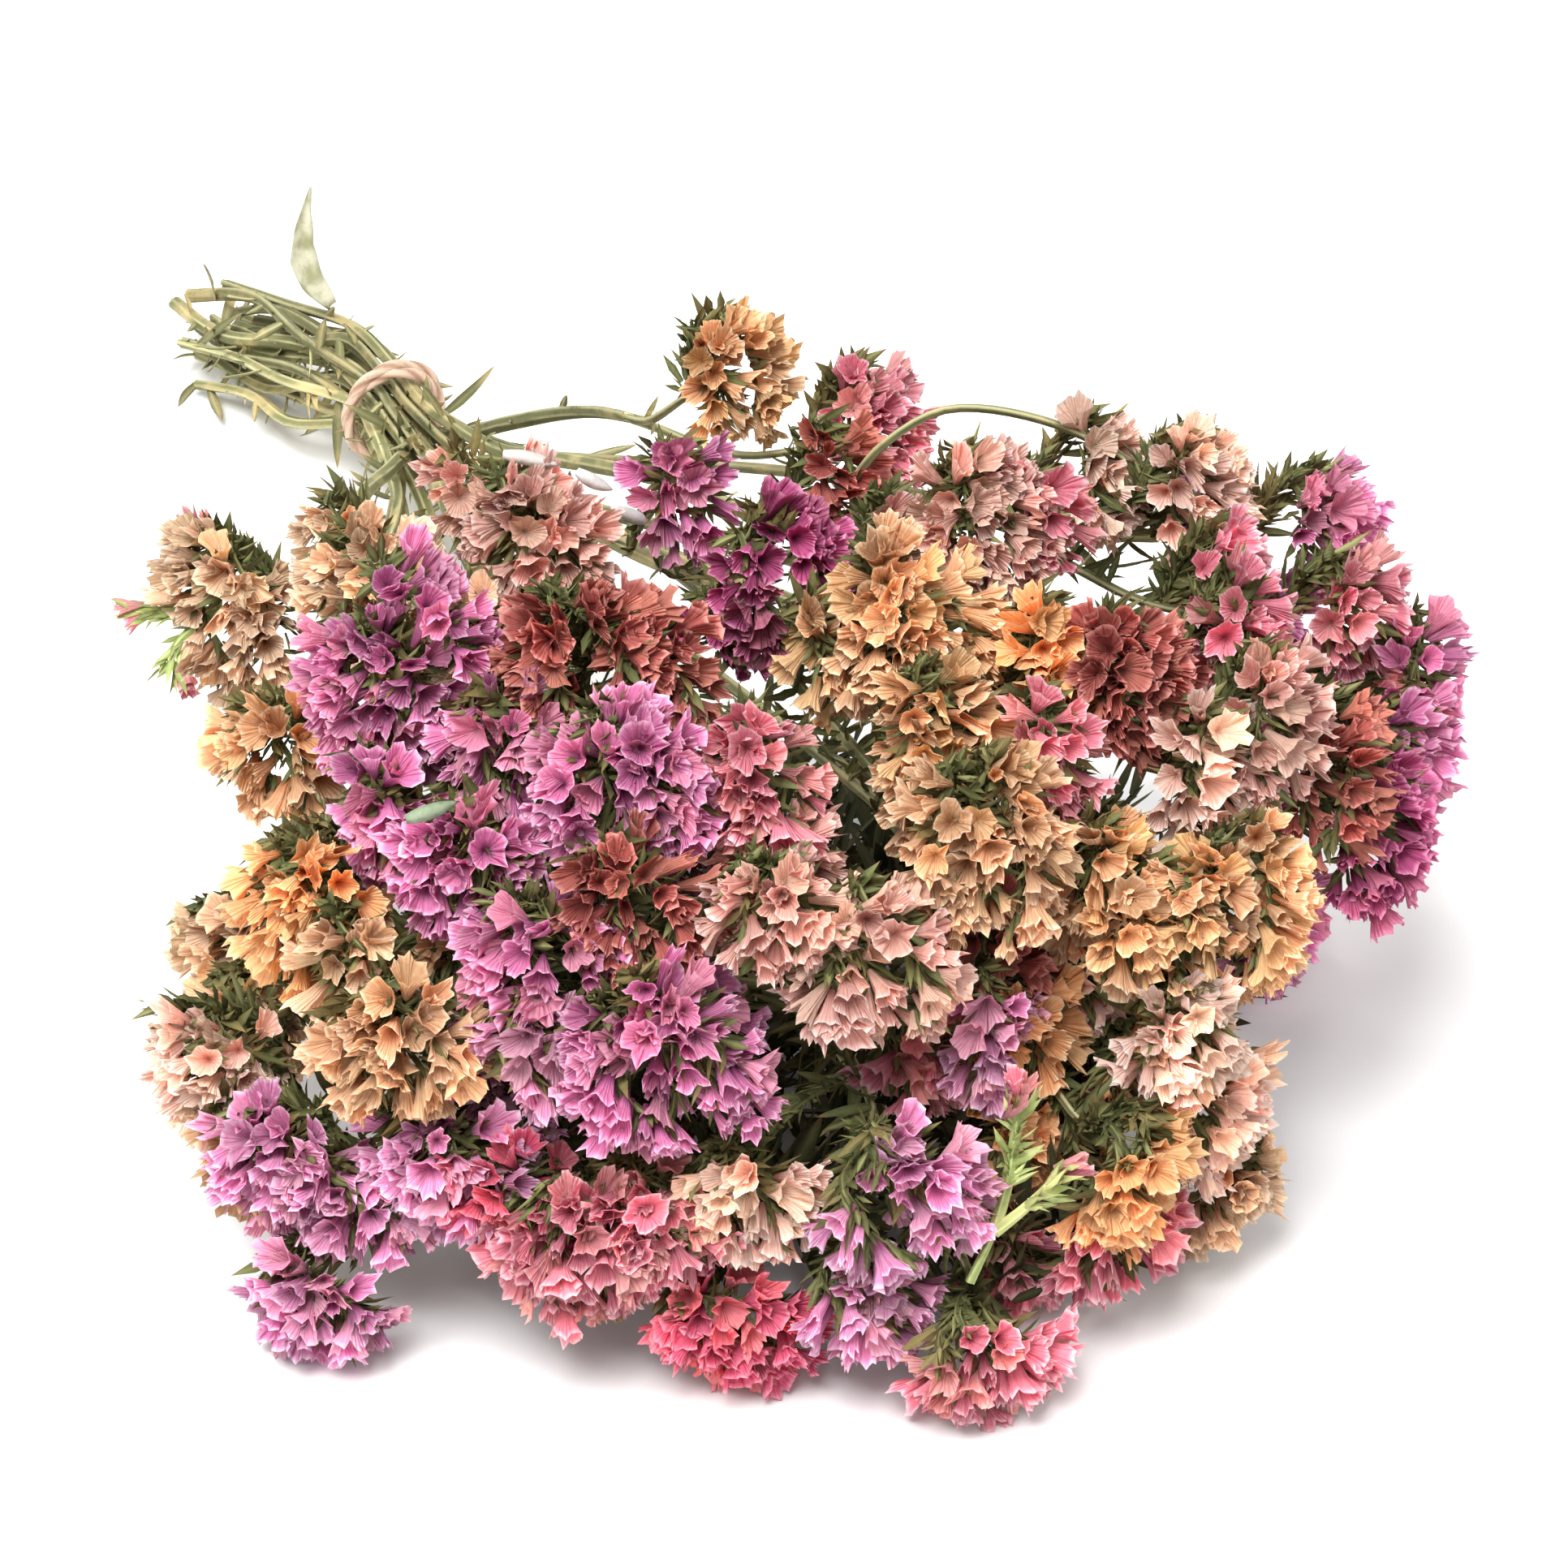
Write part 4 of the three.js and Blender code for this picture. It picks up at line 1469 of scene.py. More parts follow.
def side_sprays(heads: dict[str, FlowerHead], rods: list[Any], tie: Vector) -> list[SideSpray]:
    """Lays out the side sprays between the heads.

    Args:
        heads: the flower heads by their short names.
        rods: the points of every stem's rods.
        tie: the middle of the tie.

    Returns:
        The side sprays.
    """
    along_rods = spaced_along(rods)
    sprays = []
    for number, (colour, anchors, size) in enumerate(SIDE_SPRAYS):
        names = anchors.split()
        places = [tie if name == "tie" else heads[name].middle for name in names]
        half = size / 2 * MM
        spray = SideSpray(
            f"side_{number + 1:02d}",
            CALYX + colour,
            SIDE_SEED + SIDE_SEED_STEP * number,
            tie,
            sum(places, Vector()) / len(places),
            half_length=half * SIDE_LENGTH,
            half_width=half,
            half_depth=SIDE_DEPTH,
        )
        spray.branch_from(along_rods, BRANCH_BACK)
        sprays.append(spray)
    return sprays


def under_sprays(heads: list[FlowerHead], rods: list[Any], tie: Vector) -> list[SideSpray]:
    """Lays out smaller sprays below the high heads, which shade the inside of the bunch.

    Args:
        heads: the flower heads.
        rods: the points of every stem's rods.
        tie: the middle of the tie.

    Returns:
        The sprays under the heads.
    """
    along_rods = spaced_along(rods)
    draw = np.random.default_rng(UNDER_SEED)
    sprays = []
    for head in heads:
        shift = head.across * draw.normal(0, UNDER_SPREAD)
        shift = shift + head.down * draw.uniform(-UNDER_SHIFT, UNDER_SHIFT) * MM
        middle = head.middle - head.facing * draw.uniform(*UNDER_DEPTH) * MM + shift
        if head.middle.z < LOWEST_UNDER or head.middle.y > tie.y - NEAREST_UNDER:
            continue
        name, seed = "under_" + head.name, head.seed + UNDER_SEED_SHIFT
        spray = SideSpray(name, head.slot, seed, tie, middle, **UNDER_SIZE)
        spray.branch_from(along_rods)
        sprays.append(spray)
    return sprays


# ---- Stems -------------------------------------------------------------------------------------


@dataclass
class Stem:
    """One forked stem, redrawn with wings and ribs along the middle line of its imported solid."""

    node: str
    number: int
    trunk_radius: float = 1.9 * MM
    branch_radius: float = 1.4 * MM
    sides: int = 6
    same_place: float = 0.02 * MM  # points nearer than this are one
    radius_slack: float = 0.03  # how far a ring's side may be from the radius, as a share of it
    shortest_branch: int = 4  # a line of fewer rings is the piece between two forks

    # The drawn rods' half thickness at both ends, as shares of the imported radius.
    TRUNK_SHARES = (0.92, 0.92)
    BRANCH_SHARES = (1.1, 0.75)
    TWIST = 9.0
    TINT_STEP = 0.137

    def _rings(self) -> tuple[Any, Any, Any]:
        """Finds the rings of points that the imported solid's rods are made of.

        Returns:
            The rings' middles, their radii and the pairs of rings that are joined.
        """
        raw = points_of(self.node)
        _, first, same = np.unique(
            np.round(raw / self.same_place).astype(int),
            axis=0,
            return_index=True,
            return_inverse=True,
        )
        points = raw[first]
        same = same.ravel()
        edges = np.array([tuple(e.vertices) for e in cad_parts[self.node].data.edges])
        edges = np.unique(np.sort(same[edges], axis=1), axis=0)
        edges = edges[edges[:, 0] != edges[:, 1]]
        length = np.linalg.norm(points[edges[:, 0]] - points[edges[:, 1]], axis=1)
        middles, radii, owner = [], [], np.full(len(points), -1)
        for radius in (self.trunk_radius, self.branch_radius):
            near = edges[np.abs(length - radius) < self.radius_slack * radius]
            for group in self._groups(len(points), near):
                if len(group) == self.sides:
                    owner[group] = len(middles)
                    middles.append(points[group].mean(axis=0))
                    radii.append(radius)
        pairs: dict[tuple[int, int], int] = {}
        for a, b in owner[edges]:
            if a >= 0 and b >= 0 and a != b:
                key = (min(a, b), max(a, b))
                pairs[key] = pairs.get(key, 0) + 1
        joined = [key for key, count in pairs.items() if count >= self.sides // 2]
        return np.array(middles), np.array(radii), joined

    @staticmethod
    def _groups(count: int, edges: Any) -> list[list[int]]:
        """Splits numbered points into groups that edges join.

        Args:
            count: how many points there are.
            edges: pairs of point numbers.

        Returns:
            Each group's point numbers in rising order.
        """
        parent = list(range(count))

        def root(i: int) -> int:
            """Returns the number that stands for i's group."""
            while parent[i] != i:
                i = parent[i]
            return i

        for a, b in edges:
            low, high = sorted((root(int(a)), root(int(b))))
            parent[high] = low
        groups: dict[int, list[int]] = {}
        for i in range(count):
            groups.setdefault(root(i), []).append(i)
        return [group for group in groups.values() if len(group) > 1]

    @staticmethod
    def _chains(count: int, joined: Any) -> list[list[int]]:
        """Walks from ring to ring, from the loose ends inwards.

        Args:
            count: how many rings there are.
            joined: the pairs of rings that are joined.

        Returns:
            The ring numbers of each unforked line, in order.
        """
        near: dict[int, list[int]] = {i: [] for i in range(count)}
        for a, b in joined:
            near[a].append(b)
            near[b].append(a)
        chains, used = [], set()
        for start in sorted(near, key=lambda i: (len(near[i]), i)):
            if start in used:
                continue
            chain = [start]
            used.add(start)
            while ahead := [i for i in near[chain[-1]] if i not in used]:
                chain.append(ahead[0])
                used.add(ahead[0])
            chains.append(chain)
        return chains

    def paths(self) -> list[tuple[Any, float]]:
        """Orders the rods, from the trunk outwards.

        Returns:
            The points of each rod in order, and its radius.
        """
        middles, radii, joined = self._rings()
        chains = self._chains(len(middles), joined)
        between = (self.trunk_radius + self.branch_radius) / 2
        trunk = max((c for c in chains if radii[c[0]] > between), key=len)
        if middles[trunk[0]][1] < middles[trunk[-1]][1]:
            trunk = trunk[::-1]
        fork = middles[trunk[-1]]
        result = [(middles[trunk], self.trunk_radius)]
        ends = [fork]
        rest = [c for c in chains if radii[c[0]] < between]

        def gap(chain: list[int]) -> float:
            """Returns how far a chain is from the fork."""
            return min(np.linalg.norm(middles[chain[end]] - fork) for end in (0, -1))

        for chain in sorted(rest, key=gap):
            line = middles[chain]
            gaps = [
                (np.linalg.norm(line[mine] - end), mine, theirs)
                for mine in (0, -1)
                for theirs, end in enumerate(ends)
            ]
            _, mine, theirs = min(gaps, key=lambda item: item[0])
            if mine == -1:
                line = line[::-1]
            line = np.vstack([ends[theirs], line])
            result.append((line, self.branch_radius))
            if len(line) < self.shortest_branch and theirs == 0:
                ends.append(line[-1])
        return result

    def build(self, shop: Workshop) -> list[Any]:
        """Makes the stem's ribbed rods.

        Args:
            shop: the shared trees, shapes and finishes.

        Returns:
            The rods' points, for the scraps that sit on them.
        """
        rods = []
        for number, (line, radius) in enumerate(self.paths()):
            start, end = self.BRANCH_SHARES if number else self.TRUNK_SHARES
            tint = ((self.number * 5 + number * 3) * self.TINT_STEP) % 1
            rods.append(Rod(line, radius * start, radius * end, tint))
        name, nodes = "ribbed_" + self.node, (self.node,)
        shop.sweep_rods(name, rods, STEM_SLOT, 5 * MM, self.TWIST, nodes=nodes)
        return [rod.points for rod in rods]


# ---- Tie, leaf and scraps ----------------------------------------------------------------------


@dataclass
class Tie:
    """A thin twisted elastic that goes twice round the stems and crosses itself once."""

    node: str = "tie_band"
    thickness: float = 1.75 * MM
    half_width: float = 2.2 * MM
    lift: float = 0.9 * MM
    crossing: float = math.radians(118)
    points: int = 120
    strands: int = 2
    outline_points: int = 18
    twist: float = 300.0
    # Painted shade: the hollow colour darkens the groove where the two strands meet, and the paler
    # rib colour on the strands' crests is painted light.
    finish: GreenFinish = GreenFinish(
        "tie_rubber",
        from_screen(164, 126, 102),
        from_screen(226, 198, 176),
        from_screen(226, 198, 176),
        from_screen(188, 152, 128),
        0.6,
    )

    def _outline(self) -> bpy.types.Object:
        """Returns the outline of two strands side by side."""
        points, ribs = [], []
        for i in range(self.outline_points):
            turn = 2 * math.pi * i / self.outline_points
            bulge = abs(math.cos(self.strands * turn / 2))
            reach = 0.7 + 0.36 * bulge
            points.append((reach * math.cos(turn), reach * math.sin(turn)))
            # The finish lightens the strands' crests and darkens the groove between them: painted
            # light and shade.
            ribs.append(bulge)
        return closed_line("tie_outline", points, ribs)

    def build(self, shop: Workshop) -> None:
        """Makes the elastic.

        Args:
            shop: the shared trees, shapes and finishes.
        """
        surface = surface_of(self.node)
        low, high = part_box(self.node)
        middle = (low + high) / 2
        line = []
        for step in range(self.points + 1):
            turn = 4 * math.pi * step / self.points
            angle = turn + self.crossing - math.pi
            ray = Vector((math.cos(angle), 0.0, math.sin(angle)))
            far = middle + ray * (high - low).length
            hit = surface.ray_cast(far, -ray)[0]
            reach = (hit - middle).length - self.thickness * 0.8 + self.lift * math.sin(turn / 2)
            place = middle + ray * reach
            place.y += self.half_width * math.cos(turn / 2)
            line.append(place)
        name = self.finish.name
        shop.finishes[name] = self.finish.material()
        rods = [Rod(line, self.thickness, self.thickness, 0.5)]
        outline, nodes = self._outline(), (self.node,)
        shop.sweep_rods("twisted_tie", rods, name, 1.2 * MM, self.twist, outline, nodes)


@dataclass
class ThinLeaf:
    """A pale, papery leaf that curls up out of the cut ends."""

    node: str = "dry_leaf"
    width: float = 10 * MM
    rows: int = 18
    columns: int = 7
    slices: int = 5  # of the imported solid, whose middles the leaf follows
    end_points: int = 8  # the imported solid's points at each end
    thickness: float = 0.25 * MM
    side: Vector = field(default_factory=lambda: Vector((0.85, 0.45, 0.25)).normalized())
    finish: PlainPaperFinish = PlainPaperFinish(
        "dry_leaf", from_screen(226, 224, 202), from_screen(178, 178, 138)
    )

    def _spine(self) -> Any:
        """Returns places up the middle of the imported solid."""
        points = points_of(self.node)
        order = np.argsort(points[:, 2])
        spine = np.array([part.mean(axis=0) for part in np.array_split(points[order], self.slices)])
        spine[0] = points[order[: self.end_points]].mean(axis=0)
        spine[-1] = points[order[-self.end_points :]].mean(axis=0)
        return spine

    def build(self, shop: Workshop) -> None:
        """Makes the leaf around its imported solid.

        Args:
            shop: the shared trees, shapes and finishes.
        """
        spine = self._spine()
        front, back = [], []
        for row in range(self.rows + 1):
            share = row / self.rows
            at = share * (len(spine) - 1)
            low = min(int(at), len(spine) - 2)
            centre = Vector(spine[low] + (spine[low + 1] - spine[low]) * (at - low))
            half = self.width / 2 * (math.sin(math.pi * (0.08 + 0.91 * share)) ** 0.7 + 0.02)
            for column in range(self.columns):
                across = column / (self.columns - 1) * 2 - 1
                wave = 0.9 * MM * math.sin(9 * share + 2.4 * across) * across
                cup = 1.8 * MM * across**2 * math.sin(math.pi * share)
                place = centre + self.side * half * across + Vector((0.0, -cup - wave, 0.3 * wave))
                front.append(place)
                back.append(place + Vector((0.0, self.thickness, 0.0)))
        finish_thin_piece(shop, "thin_leaf", front + back, self._faces(), self.finish, self.node)

    def _faces(self) -> list[list[int]]:
        """Returns the faces of both sides and of the rim between them."""
        wide, rows = self.columns, self.rows
        shift = wide * (rows + 1)
        faces = []
        for row in range(rows):
            for column in range(wide - 1):
                a = row * wide + column
                quad = [a, a + 1, a + wide + 1, a + wide]
                faces.append(quad)
                faces.append([i + shift for i in reversed(quad)])
        edge = list(range(wide))
        edge += [row * wide + wide - 1 for row in range(1, rows + 1)]
        edge += [rows * wide + i for i in range(wide - 2, -1, -1)]
        edge += [row * wide for row in range(rows - 1, 0, -1)]
        for i, j in zip(edge, edge[1:] + edge[:1], strict=True):
            faces.append([j, i, i + shift, j + shift])
        return faces


def finish_thin_piece(
    shop: Workshop, name: str, points: Any, faces: Any, finish: PlainPaperFinish, *nodes: str
) -> None:
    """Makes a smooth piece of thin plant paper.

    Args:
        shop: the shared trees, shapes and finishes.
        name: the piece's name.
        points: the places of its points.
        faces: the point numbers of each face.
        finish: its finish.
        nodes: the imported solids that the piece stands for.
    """
    shop.finishes[finish.name] = finish.material()
    mesh = mesh_from(name, points, faces)
    mesh.materials.append(shop.finishes[finish.name])
    mesh.shade_smooth()
    settle(new_piece(name, mesh), "dry_leaf", *nodes)


SCRAP_RANKS = RankLayout(
    pitch=7 * MM,
    ranks=1,
    splay=0.0,
    lean=1.2,
    wobble=1.3,
    smallest=0.3,
    largest=1.15,
)
CROWN_RANKS = RankLayout(
    pitch=6 * MM,
    ranks=4,
    rank_gap=0.8 * MM,
    splay=0.9,
    lean=0.7,
    wobble=0.9,
    jitter=1.5 * MM,
    smallest=0.5,
    largest=1.05,
    share=0.8,
)
NEVER_ZERO = 1e-6  # added to a vector that is made one long later


@dataclass
class Scraps:
    """Dried leaf scraps that cling to the stems, most of them near the tie."""

    tie: Vector
    near: float = 75 * MM  # half the length of the part that most scraps cling to
    near_middle: float = 30 * MM  # that part's middle, from the tie towards the cut ends
    bare_to: float = 280 * MM  # from the tie; farther out than this there are no scraps
    crown_from: float = 225 * MM
    crown_core: float = 50 * MM  # the height that the crown's leaves point away from
    size: float = 0.75
    step: float = 5 * MM
    fewest: int = 3
    crown_seed: int = 73

    BANDS = (("near_tie", 0.75, 71), ("on_stems", 0.22, 72))  # each one's share and seed

    def build(self, shop: Workshop, rods: list[Any]) -> None:
        """Makes the scraps along the rods.

        Args:
            shop: the shared trees, shapes and finishes.
            rods: the points of every stem's rods.
        """
        for name, share, seed in self.BANDS:
            lines, outwards = [], []
            for points in (spaced(line, self.step) for line in rods):
                close = np.abs(points[:, 1] - self.tie.y - self.near_middle) < self.near
                if name == "on_stems":
                    close = ~close & (points[:, 1] > self.tie.y - self.bare_to)
                points = points[close]
                if len(points) < self.fewest:
                    continue
                outward = points - np.array([self.tie.x, 0.0, self.tie.z])
                outward[:, 1] = 0.0
                outward += np.array([points[:, 0].mean() - self.tie.x, 0.0, 4 * MM])
                lines.append(points)
                outwards.append(outward + NEVER_ZERO)
            layout = replace(SCRAP_RANKS, share=share)
            name = "leaf_scraps_" + name
            shop.set_shapes(name, shop.scraps, layout, STEM_SLOT, lines, outwards, self.size, seed)
        self._crown_leaves(shop, rods)

    def _crown_leaves(self, shop: Workshop, rods: list[Any]) -> None:
        """Makes the larger leaf-like scales on the branches between the heads.

        Args:
            shop: the shared trees, shapes and finishes.
            rods: the points of every stem's rods.
        """
        lines, outwards = [], []
        for points in (spaced(line, self.step) for line in rods):
            points = points[points[:, 1] < self.tie.y - self.crown_from]
            if len(points) < self.fewest:
                continue
            outward = points - np.array([self.tie.x, 0.0, self.crown_core])
            outward[:, 1] = 0.0
            lines.append(points)
            outwards.append(outward + NEVER_ZERO)
        name, seed = "crown_leaves", self.crown_seed
        shop.set_shapes(
            name, shop.scraps, CROWN_RANKS, "scale_green", lines, outwards, 1.0, seed
        )


THICKET_RANKS = RankLayout(
    pitch=6.5 * MM,
    ranks=3,
    rank_gap=4 * MM,
    splay=0.8,
    lean=0.5,
    wobble=0.9,
    jitter=3 * MM,
    smallest=0.7,
    largest=1.2,
)


@dataclass
class Thicket:
    """Painted shade: very dark twigs and leaves put deep inside the bunch, which close the gaps
    between the heads so that they look shaded.
    """

    tie: Vector
    nearest: float = 190 * MM  # from the tie, along the bunch
    rise_over: float = 80 * MM  # the distance in which the thicket grows to its full height
    step: float = 9 * MM
    across_step: float = 12 * MM
    share: float = 0.72  # of the width between the outermost rods
    low: float = 8 * MM
    high: float = 42 * MM
    twig_radius: float = 0.8 * MM
    row_spread: float = 3 * MM
    fewest: int = 3
    seed: int = 91
    # the painted-shade green
    green: str = "inner_green"

    def lines(self, rods: list[Any]) -> list[Any]:
        """Lays out the twigs, which cross the bunch from side to side.

        Args:
            rods: the points of every stem's rods.

        Returns:
            The points of each twig.
        """
        draw = np.random.default_rng(self.seed)
        points = spaced_along(rods)
        lines = []
        for y in np.arange(self.tie.y - self.nearest, points[:, 1].min(), -self.step):
            row = points[np.abs(points[:, 1] - y) < self.step]
            if not len(row):
                continue
            middle = (row[:, 0].min() + row[:, 0].max()) / 2
            half = (row[:, 0].max() - row[:, 0].min()) / 2 * self.share
            xs = np.arange(middle - half, middle + half, self.across_step)
            if len(xs) < self.fewest:
                continue
            ys = y + draw.normal(0, self.row_spread, len(xs))
            grown = min(1.0, (self.tie.y - self.nearest - y) / self.rise_over)
            zs = draw.uniform(self.low, self.low + (self.high - self.low) * grown, len(xs))
            lines.append(np.stack([xs, ys, zs], axis=1))
        return lines

    def build(self, shop: Workshop, rods: list[Any]) -> None:
        """Makes the twigs and the leaves on them, all in the painted-shade green.

        Args:
            shop: the shared trees, shapes and finishes.
            rods: the points of every stem's rods.
        """
        lines = self.lines(rods)
        twigs = [Rod(line, self.twig_radius, self.twig_radius, 0.2) for line in lines]
        shop.sweep_rods("inner_twigs", twigs, self.green, 5 * MM)
        ups = [np.tile((0.0, -0.3, 1.0), (len(line), 1)) for line in lines]
        shop.set_shapes(
            "inner_leaves", shop.scraps, THICKET_RANKS, self.green, lines, ups, 1.0, self.seed
        )


TUFT_RANKS = RankLayout(
    pitch=1.9 * MM,
    ranks=4,
    rank_gap=0.5 * MM,
    splay=0.7,
    lean=1.7,
    wobble=0.7,
    jitter=0.6 * MM,
)
TIP_RANKS = RankLayout(pitch=4 * MM, ranks=2, rank_gap=2.5 * MM, splay=0.5, lean=2.0, wobble=0.5)


@dataclass
class ForkedSprig:
    """A broken twig that forks into tufts of scales, each with a few calyxes at its tip."""

    name: str
    head: FlowerHead
    foot: tuple[float, float, float]
    tips: tuple[tuple[float, float, float], ...]
    dye: str
    green: str
    thick: float = 1.3 * MM
    thinner: float = 0.7  # the tips' thickness, as a share of the foot's
    fork_at: float = 0.35
    bow: float = 1.5 * MM
    seed: int = 800

    def _lines(self) -> list[list[Vector]]:
        """Returns the points of the twig's foot and of each of its forks."""
        foot = self.head.middle + Vector(self.foot) * MM
        tips = [self.head.middle + Vector(tip) * MM for tip in self.tips]
        fork = foot.lerp(sum(tips, Vector()) / len(tips), self.fork_at)
        draw = np.random.default_rng(self.seed)
        lines = [[foot, foot.lerp(fork, 0.5), fork]]
        for tip in tips:
            bow = Vector(draw.normal(0, self.bow, 3))
            lines.append([fork, fork.lerp(tip, 0.35) + bow, fork.lerp(tip, 0.7) + bow, tip])
        return lines

    def build(self, shop: Workshop) -> None:
        """Makes the twig, its scales and its calyxes.

        Args:
            shop: the shared trees, shapes and finishes.
        """
        lines = self._lines()
        end = self.thick * self.thinner
        rods = [Rod(line, self.thick, end, 0.3 + 0.2 * i) for i, line in enumerate(lines)]
        shop.sweep_rods("twig_" + self.name, rods, self.green, 3 * MM, 20.0)
        tufts = [line[1:] for line in lines[1:]]
        ups = [[self.head.facing] * len(line) for line in tufts]
        name, seed = "tufts_" + self.name, self.seed + 1
        shop.set_shapes(name, shop.scales, TUFT_RANKS, self.green, tufts, ups, 1.1, seed)
        ends = [[line[-2].lerp(line[-1], 0.5), line[-1]] for line in lines[1:]]
        ups = [[self.head.facing] * 2 for _ in ends]
        name, seed = "calyxes_" + self.name, self.seed + 2
        shop.set_shapes(name, shop.buds, TIP_RANKS, CALYX + self.dye, ends, ups, 0.8, seed)


# Each sprig's head, then its foot and tips in millimetres from that head's middle, its dye and
# its green.
SPRIGS = {
    "over_front": ("10b", (-9, -8, 24), ((8, 4, 60), (15, -5, 46)), "pink", "sprig_green"),
    "far_left": (
        "15a",
        (-5, 1, -4),
        ((-7, 12, 14), (-27, 11, -3), (-22, 0, -15)),
        "pink",
        "sprig_green",
    ),
    "hanging": ("15a", (-2, -14, -20), ((-12, -14, -26), (-14, -18, -34)), "peach", "scale_green"),
}


@dataclass
class ArchedStem:
    """A bare branch that rises out of the bunch in an arch and comes down to a head."""

    head: FlowerHead
    name: str = "arched_stem"
    thick: float = 1.25 * MM

    PLACES = (  # in millimetres from the head's middle
        (-64, 50, -10),
        (-58, 42, 6),
        (-42, 38, 14),
        (-22, 26, 12),
        (-6, 12, 4),
        (-2, 4, -4),
    )

    def build(self, shop: Workshop) -> None:
        """Makes the branch.

        Args:
            shop: the shared trees, shapes and finishes.
        """
        line = [self.head.middle + Vector(place) * MM for place in self.PLACES]
        rods = [Rod(line, self.thick, self.thick, 0.4)]
        shop.sweep_rods(self.name, rods, STEM_SLOT, 4 * MM, 9.0)


@dataclass
class LoosePetals:
    """A few curled petals or leaf scraps that lie loose on a head."""

    head: FlowerHead
    finish: PlainPaperFinish
    # For each petal: its foot in millimetres from the head's middle, the way it points, its length
    petals: tuple[tuple[Any, Any, float], ...]
    width: float = 3.6 * MM
    curl: float = 6 * MM
    stations: int = 9
    seed: int = 600

    def _turned(self, aim: Vector) -> Matrix:
        """Returns the turn that lays a petal along an aim, flat against its head."""
        away = self.head.facing
        flat = (away - aim * away.dot(aim)).normalized()
        return Matrix((flat.cross(aim), flat, aim)).transposed()

    def build(self, shop: Workshop) -> None:
        """Makes the petals.

        Args:
            shop: the shared trees, shapes and finishes.
        """
        points, faces = [], []
        for number, (place, aim, length) in enumerate(self.petals):
            name, seed = f"petal_{number}", self.seed + number
            blade = BladeShape(name, length * MM, self.width, self.curl, seed, self.stations)
            shape = blade.mesh()
            foot = self.head.middle + Vector(place) * MM
            turn = self._turned(Vector(aim).normalized())
            first = len(points)
            points += [foot + turn @ v.co for v in shape.vertices]
            faces += [[first + i for i in face.vertices] for face in shape.polygons]
        finish_thin_piece(shop, self.finish.name, points, faces, self.finish)


WHITE_PETALS = (
    ((-7, 7, 24), (0.9, -0.5, -0.1), 14),
    ((8, -3, 21), (0.7, -0.5, -0.6), 11),
    ((14, -10, 13), (0.9, 0.1, -0.7), 18),
)
WHITE_FINISH = PlainPaperFinish(
    "white_petals", from_screen(250, 248, 246), from_screen(232, 226, 220)
)
SAGE_SCRAP = (((-17, -5, 19), (0.9, -0.3, 0.3), 12),)
SAGE_FINISH = PlainPaperFinish(
    "sage_scrap", from_screen(176, 190, 160), from_screen(120, 138, 104)
)


# ---- Surroundings ------------------------------------------------------------------------------


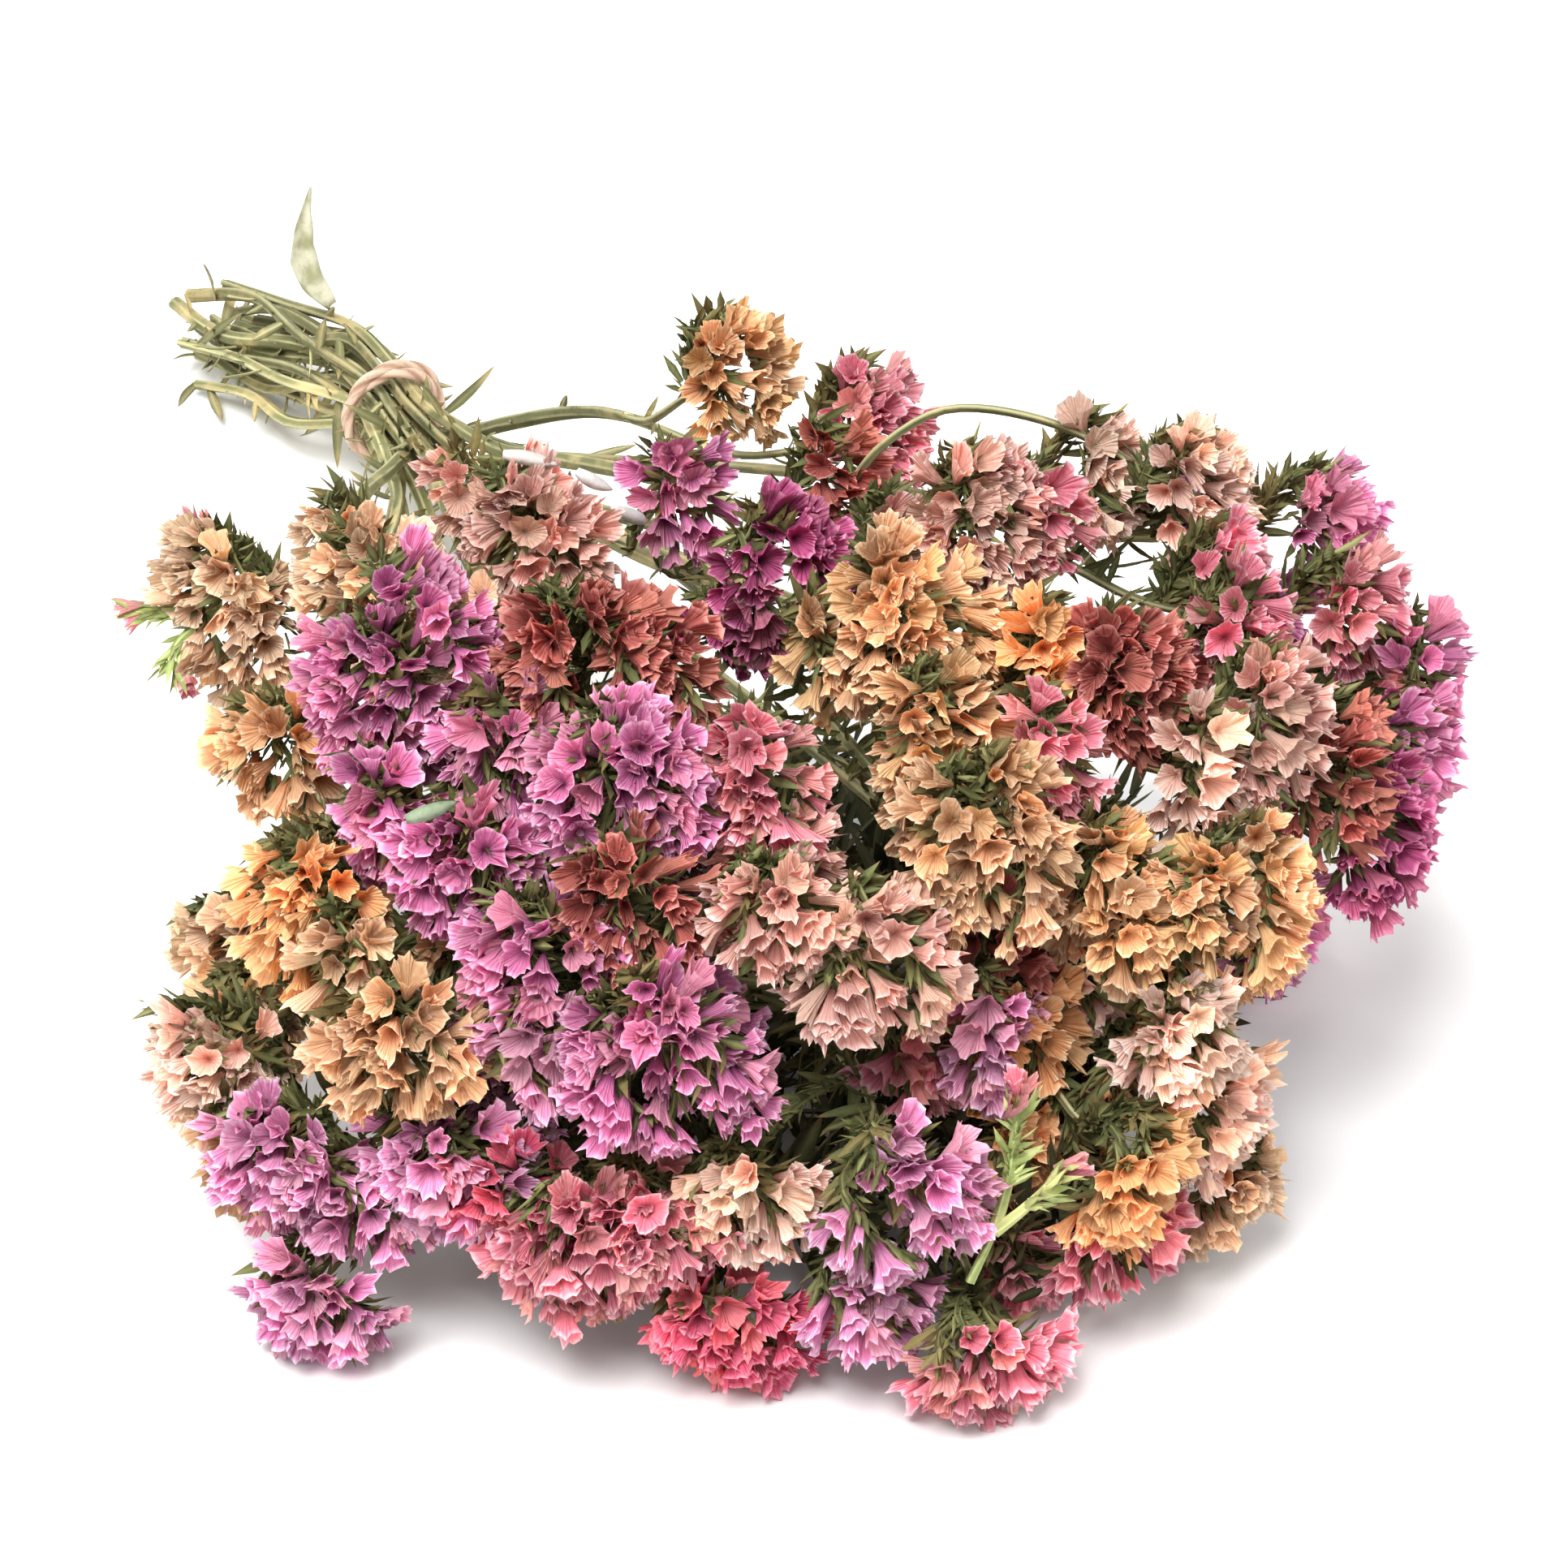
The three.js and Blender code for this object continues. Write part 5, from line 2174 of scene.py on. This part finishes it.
@dataclass
class Studio:
    """The white floor, soft lamps and camera."""

    target: Vector
    distance: float = 1.3
    azimuth: float = -25.0
    elevation: float = 35.0
    lens: float = 121.1
    sensor: float = 36.0
    floor_half: float = 6.0
    floor_white: float = 0.93
    sky_strength: float = 0.66

    LAMPS = {  # each one's place, the length of its side and its watts
        "key": ((-0.9, -0.9, 2.3), 1.3, 92.0),
        "fill": ((1.6, -1.4, 1.5), 1.8, 14.0),
        "back": ((-0.4, 1.9, 1.9), 1.8, 26.0),
    }

    def build(self) -> None:
        """Makes the floor, the lamps, the sky and the camera."""
        self._floor()
        for name, (place, size, power) in self.LAMPS.items():
            self._lamp(name, place, size, power)
        world = bpy.data.worlds.new("studio")
        world.use_nodes = True
        sky = world.node_tree.nodes["Background"]
        sky.inputs["Color"].default_value = (1.0, 1.0, 1.0, 1.0)
        sky.inputs["Strength"].default_value = self.sky_strength
        bpy.context.scene.world = world
        bpy.context.scene.view_settings.view_transform = "Standard"
        self._camera()

    def _floor(self) -> None:
        """Makes a plain white floor."""
        h = self.floor_half
        mesh = mesh_from("floor", [(-h, -h, 0), (h, -h, 0), (h, h, 0), (-h, h, 0)], [[0, 1, 2, 3]])
        material = bpy.data.materials.new("floor_white")
        material.use_nodes = True
        shader = material.node_tree.nodes["Principled BSDF"]
        shader.inputs["Base Color"].default_value = with_alpha((self.floor_white,) * 3)
        shader.inputs["Roughness"].default_value = 0.9
        shader.inputs["Specular IOR Level"].default_value = 0.0
        mesh.materials.append(material)
        new_piece("floor", mesh)

    def _lamp(self, name: str, place: tuple[float, float, float], size: float, power: float) -> None:
        """Adds one soft square lamp that points at the bunch.

        Args:
            name: the lamp's name.
            place: where it hangs.
            size: its side's length.
            power: its watts.
        """
        light = bpy.data.lights.new(name, "AREA")
        light.energy = power
        light.size = size
        lamp = bpy.data.objects.new(name, light)
        lamp.location = place
        aim = self.target - Vector(place)
        lamp.rotation_euler = aim.to_track_quat("-Z", "Y").to_euler()
        bpy.context.scene.collection.objects.link(lamp)

    def _camera(self) -> None:
        """Makes the camera at the viewing angle and sets it as the scene's."""
        turn, rise = math.radians(self.azimuth), math.radians(self.elevation)
        flat = math.cos(rise)
        back = Vector((math.sin(turn) * flat, -math.cos(turn) * flat, math.sin(rise)))
        data = bpy.data.cameras.new("camera")
        data.lens = self.lens
        data.sensor_width = self.sensor
        camera = bpy.data.objects.new("camera", data)
        camera.location = self.target + back * self.distance
        camera.rotation_euler = (-back).to_track_quat("-Z", "Y").to_euler()
        bpy.context.scene.collection.objects.link(camera)
        bpy.context.scene.camera = camera


# ---- The whole bunch ---------------------------------------------------------------------------


AIM_FROM_TIE = Vector((-5.4 * MM, -280.7 * MM, 47.3 * MM))  # where the camera points
FIRST_HEAD_SEED = 1000
HEAD_SEED_STEP = 17


def nodes_named(start: str) -> list[str]:
    """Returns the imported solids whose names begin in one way, in order."""
    return sorted(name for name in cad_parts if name.startswith(start))


def main() -> None:
    """Builds the studio and every part of the bunch in order."""
    logging.basicConfig(level=logging.INFO, format="%(message)s", stream=sys.stdout)
    low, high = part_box("tie_band")
    tie = (low + high) / 2
    Studio(tie + AIM_FROM_TIE).build()
    shop = Workshop()
    rods = []
    for number, node in enumerate(nodes_named("stem_")):
        rods += Stem(node, number).build(shop)
    heads = [
        FlowerHead.around(node, FIRST_HEAD_SEED + HEAD_SEED_STEP * i, tie)
        for i, node in enumerate(nodes_named("flower_head_"))
    ]
    by_name = {head.name: head for head in heads}
    for spray in (*heads, *side_sprays(by_name, rods, tie), *under_sprays(heads, rods, tie)):
        spray.build(shop)
    Tie().build(shop)
    ThinLeaf().build(shop)
    Scraps(tie).build(shop, rods)
    Thicket(tie).build(shop, rods)
    for name, (head, *rest) in SPRIGS.items():
        ForkedSprig(name, by_name[head], *rest).build(shop)
    ArchedStem(by_name["04a"]).build(shop)
    LoosePetals(by_name["02a"], WHITE_FINISH, WHITE_PETALS).build(shop)
    LoosePetals(by_name["13c"], SAGE_FINISH, SAGE_SCRAP).build(shop)


if __name__ == "__main__":
    main()
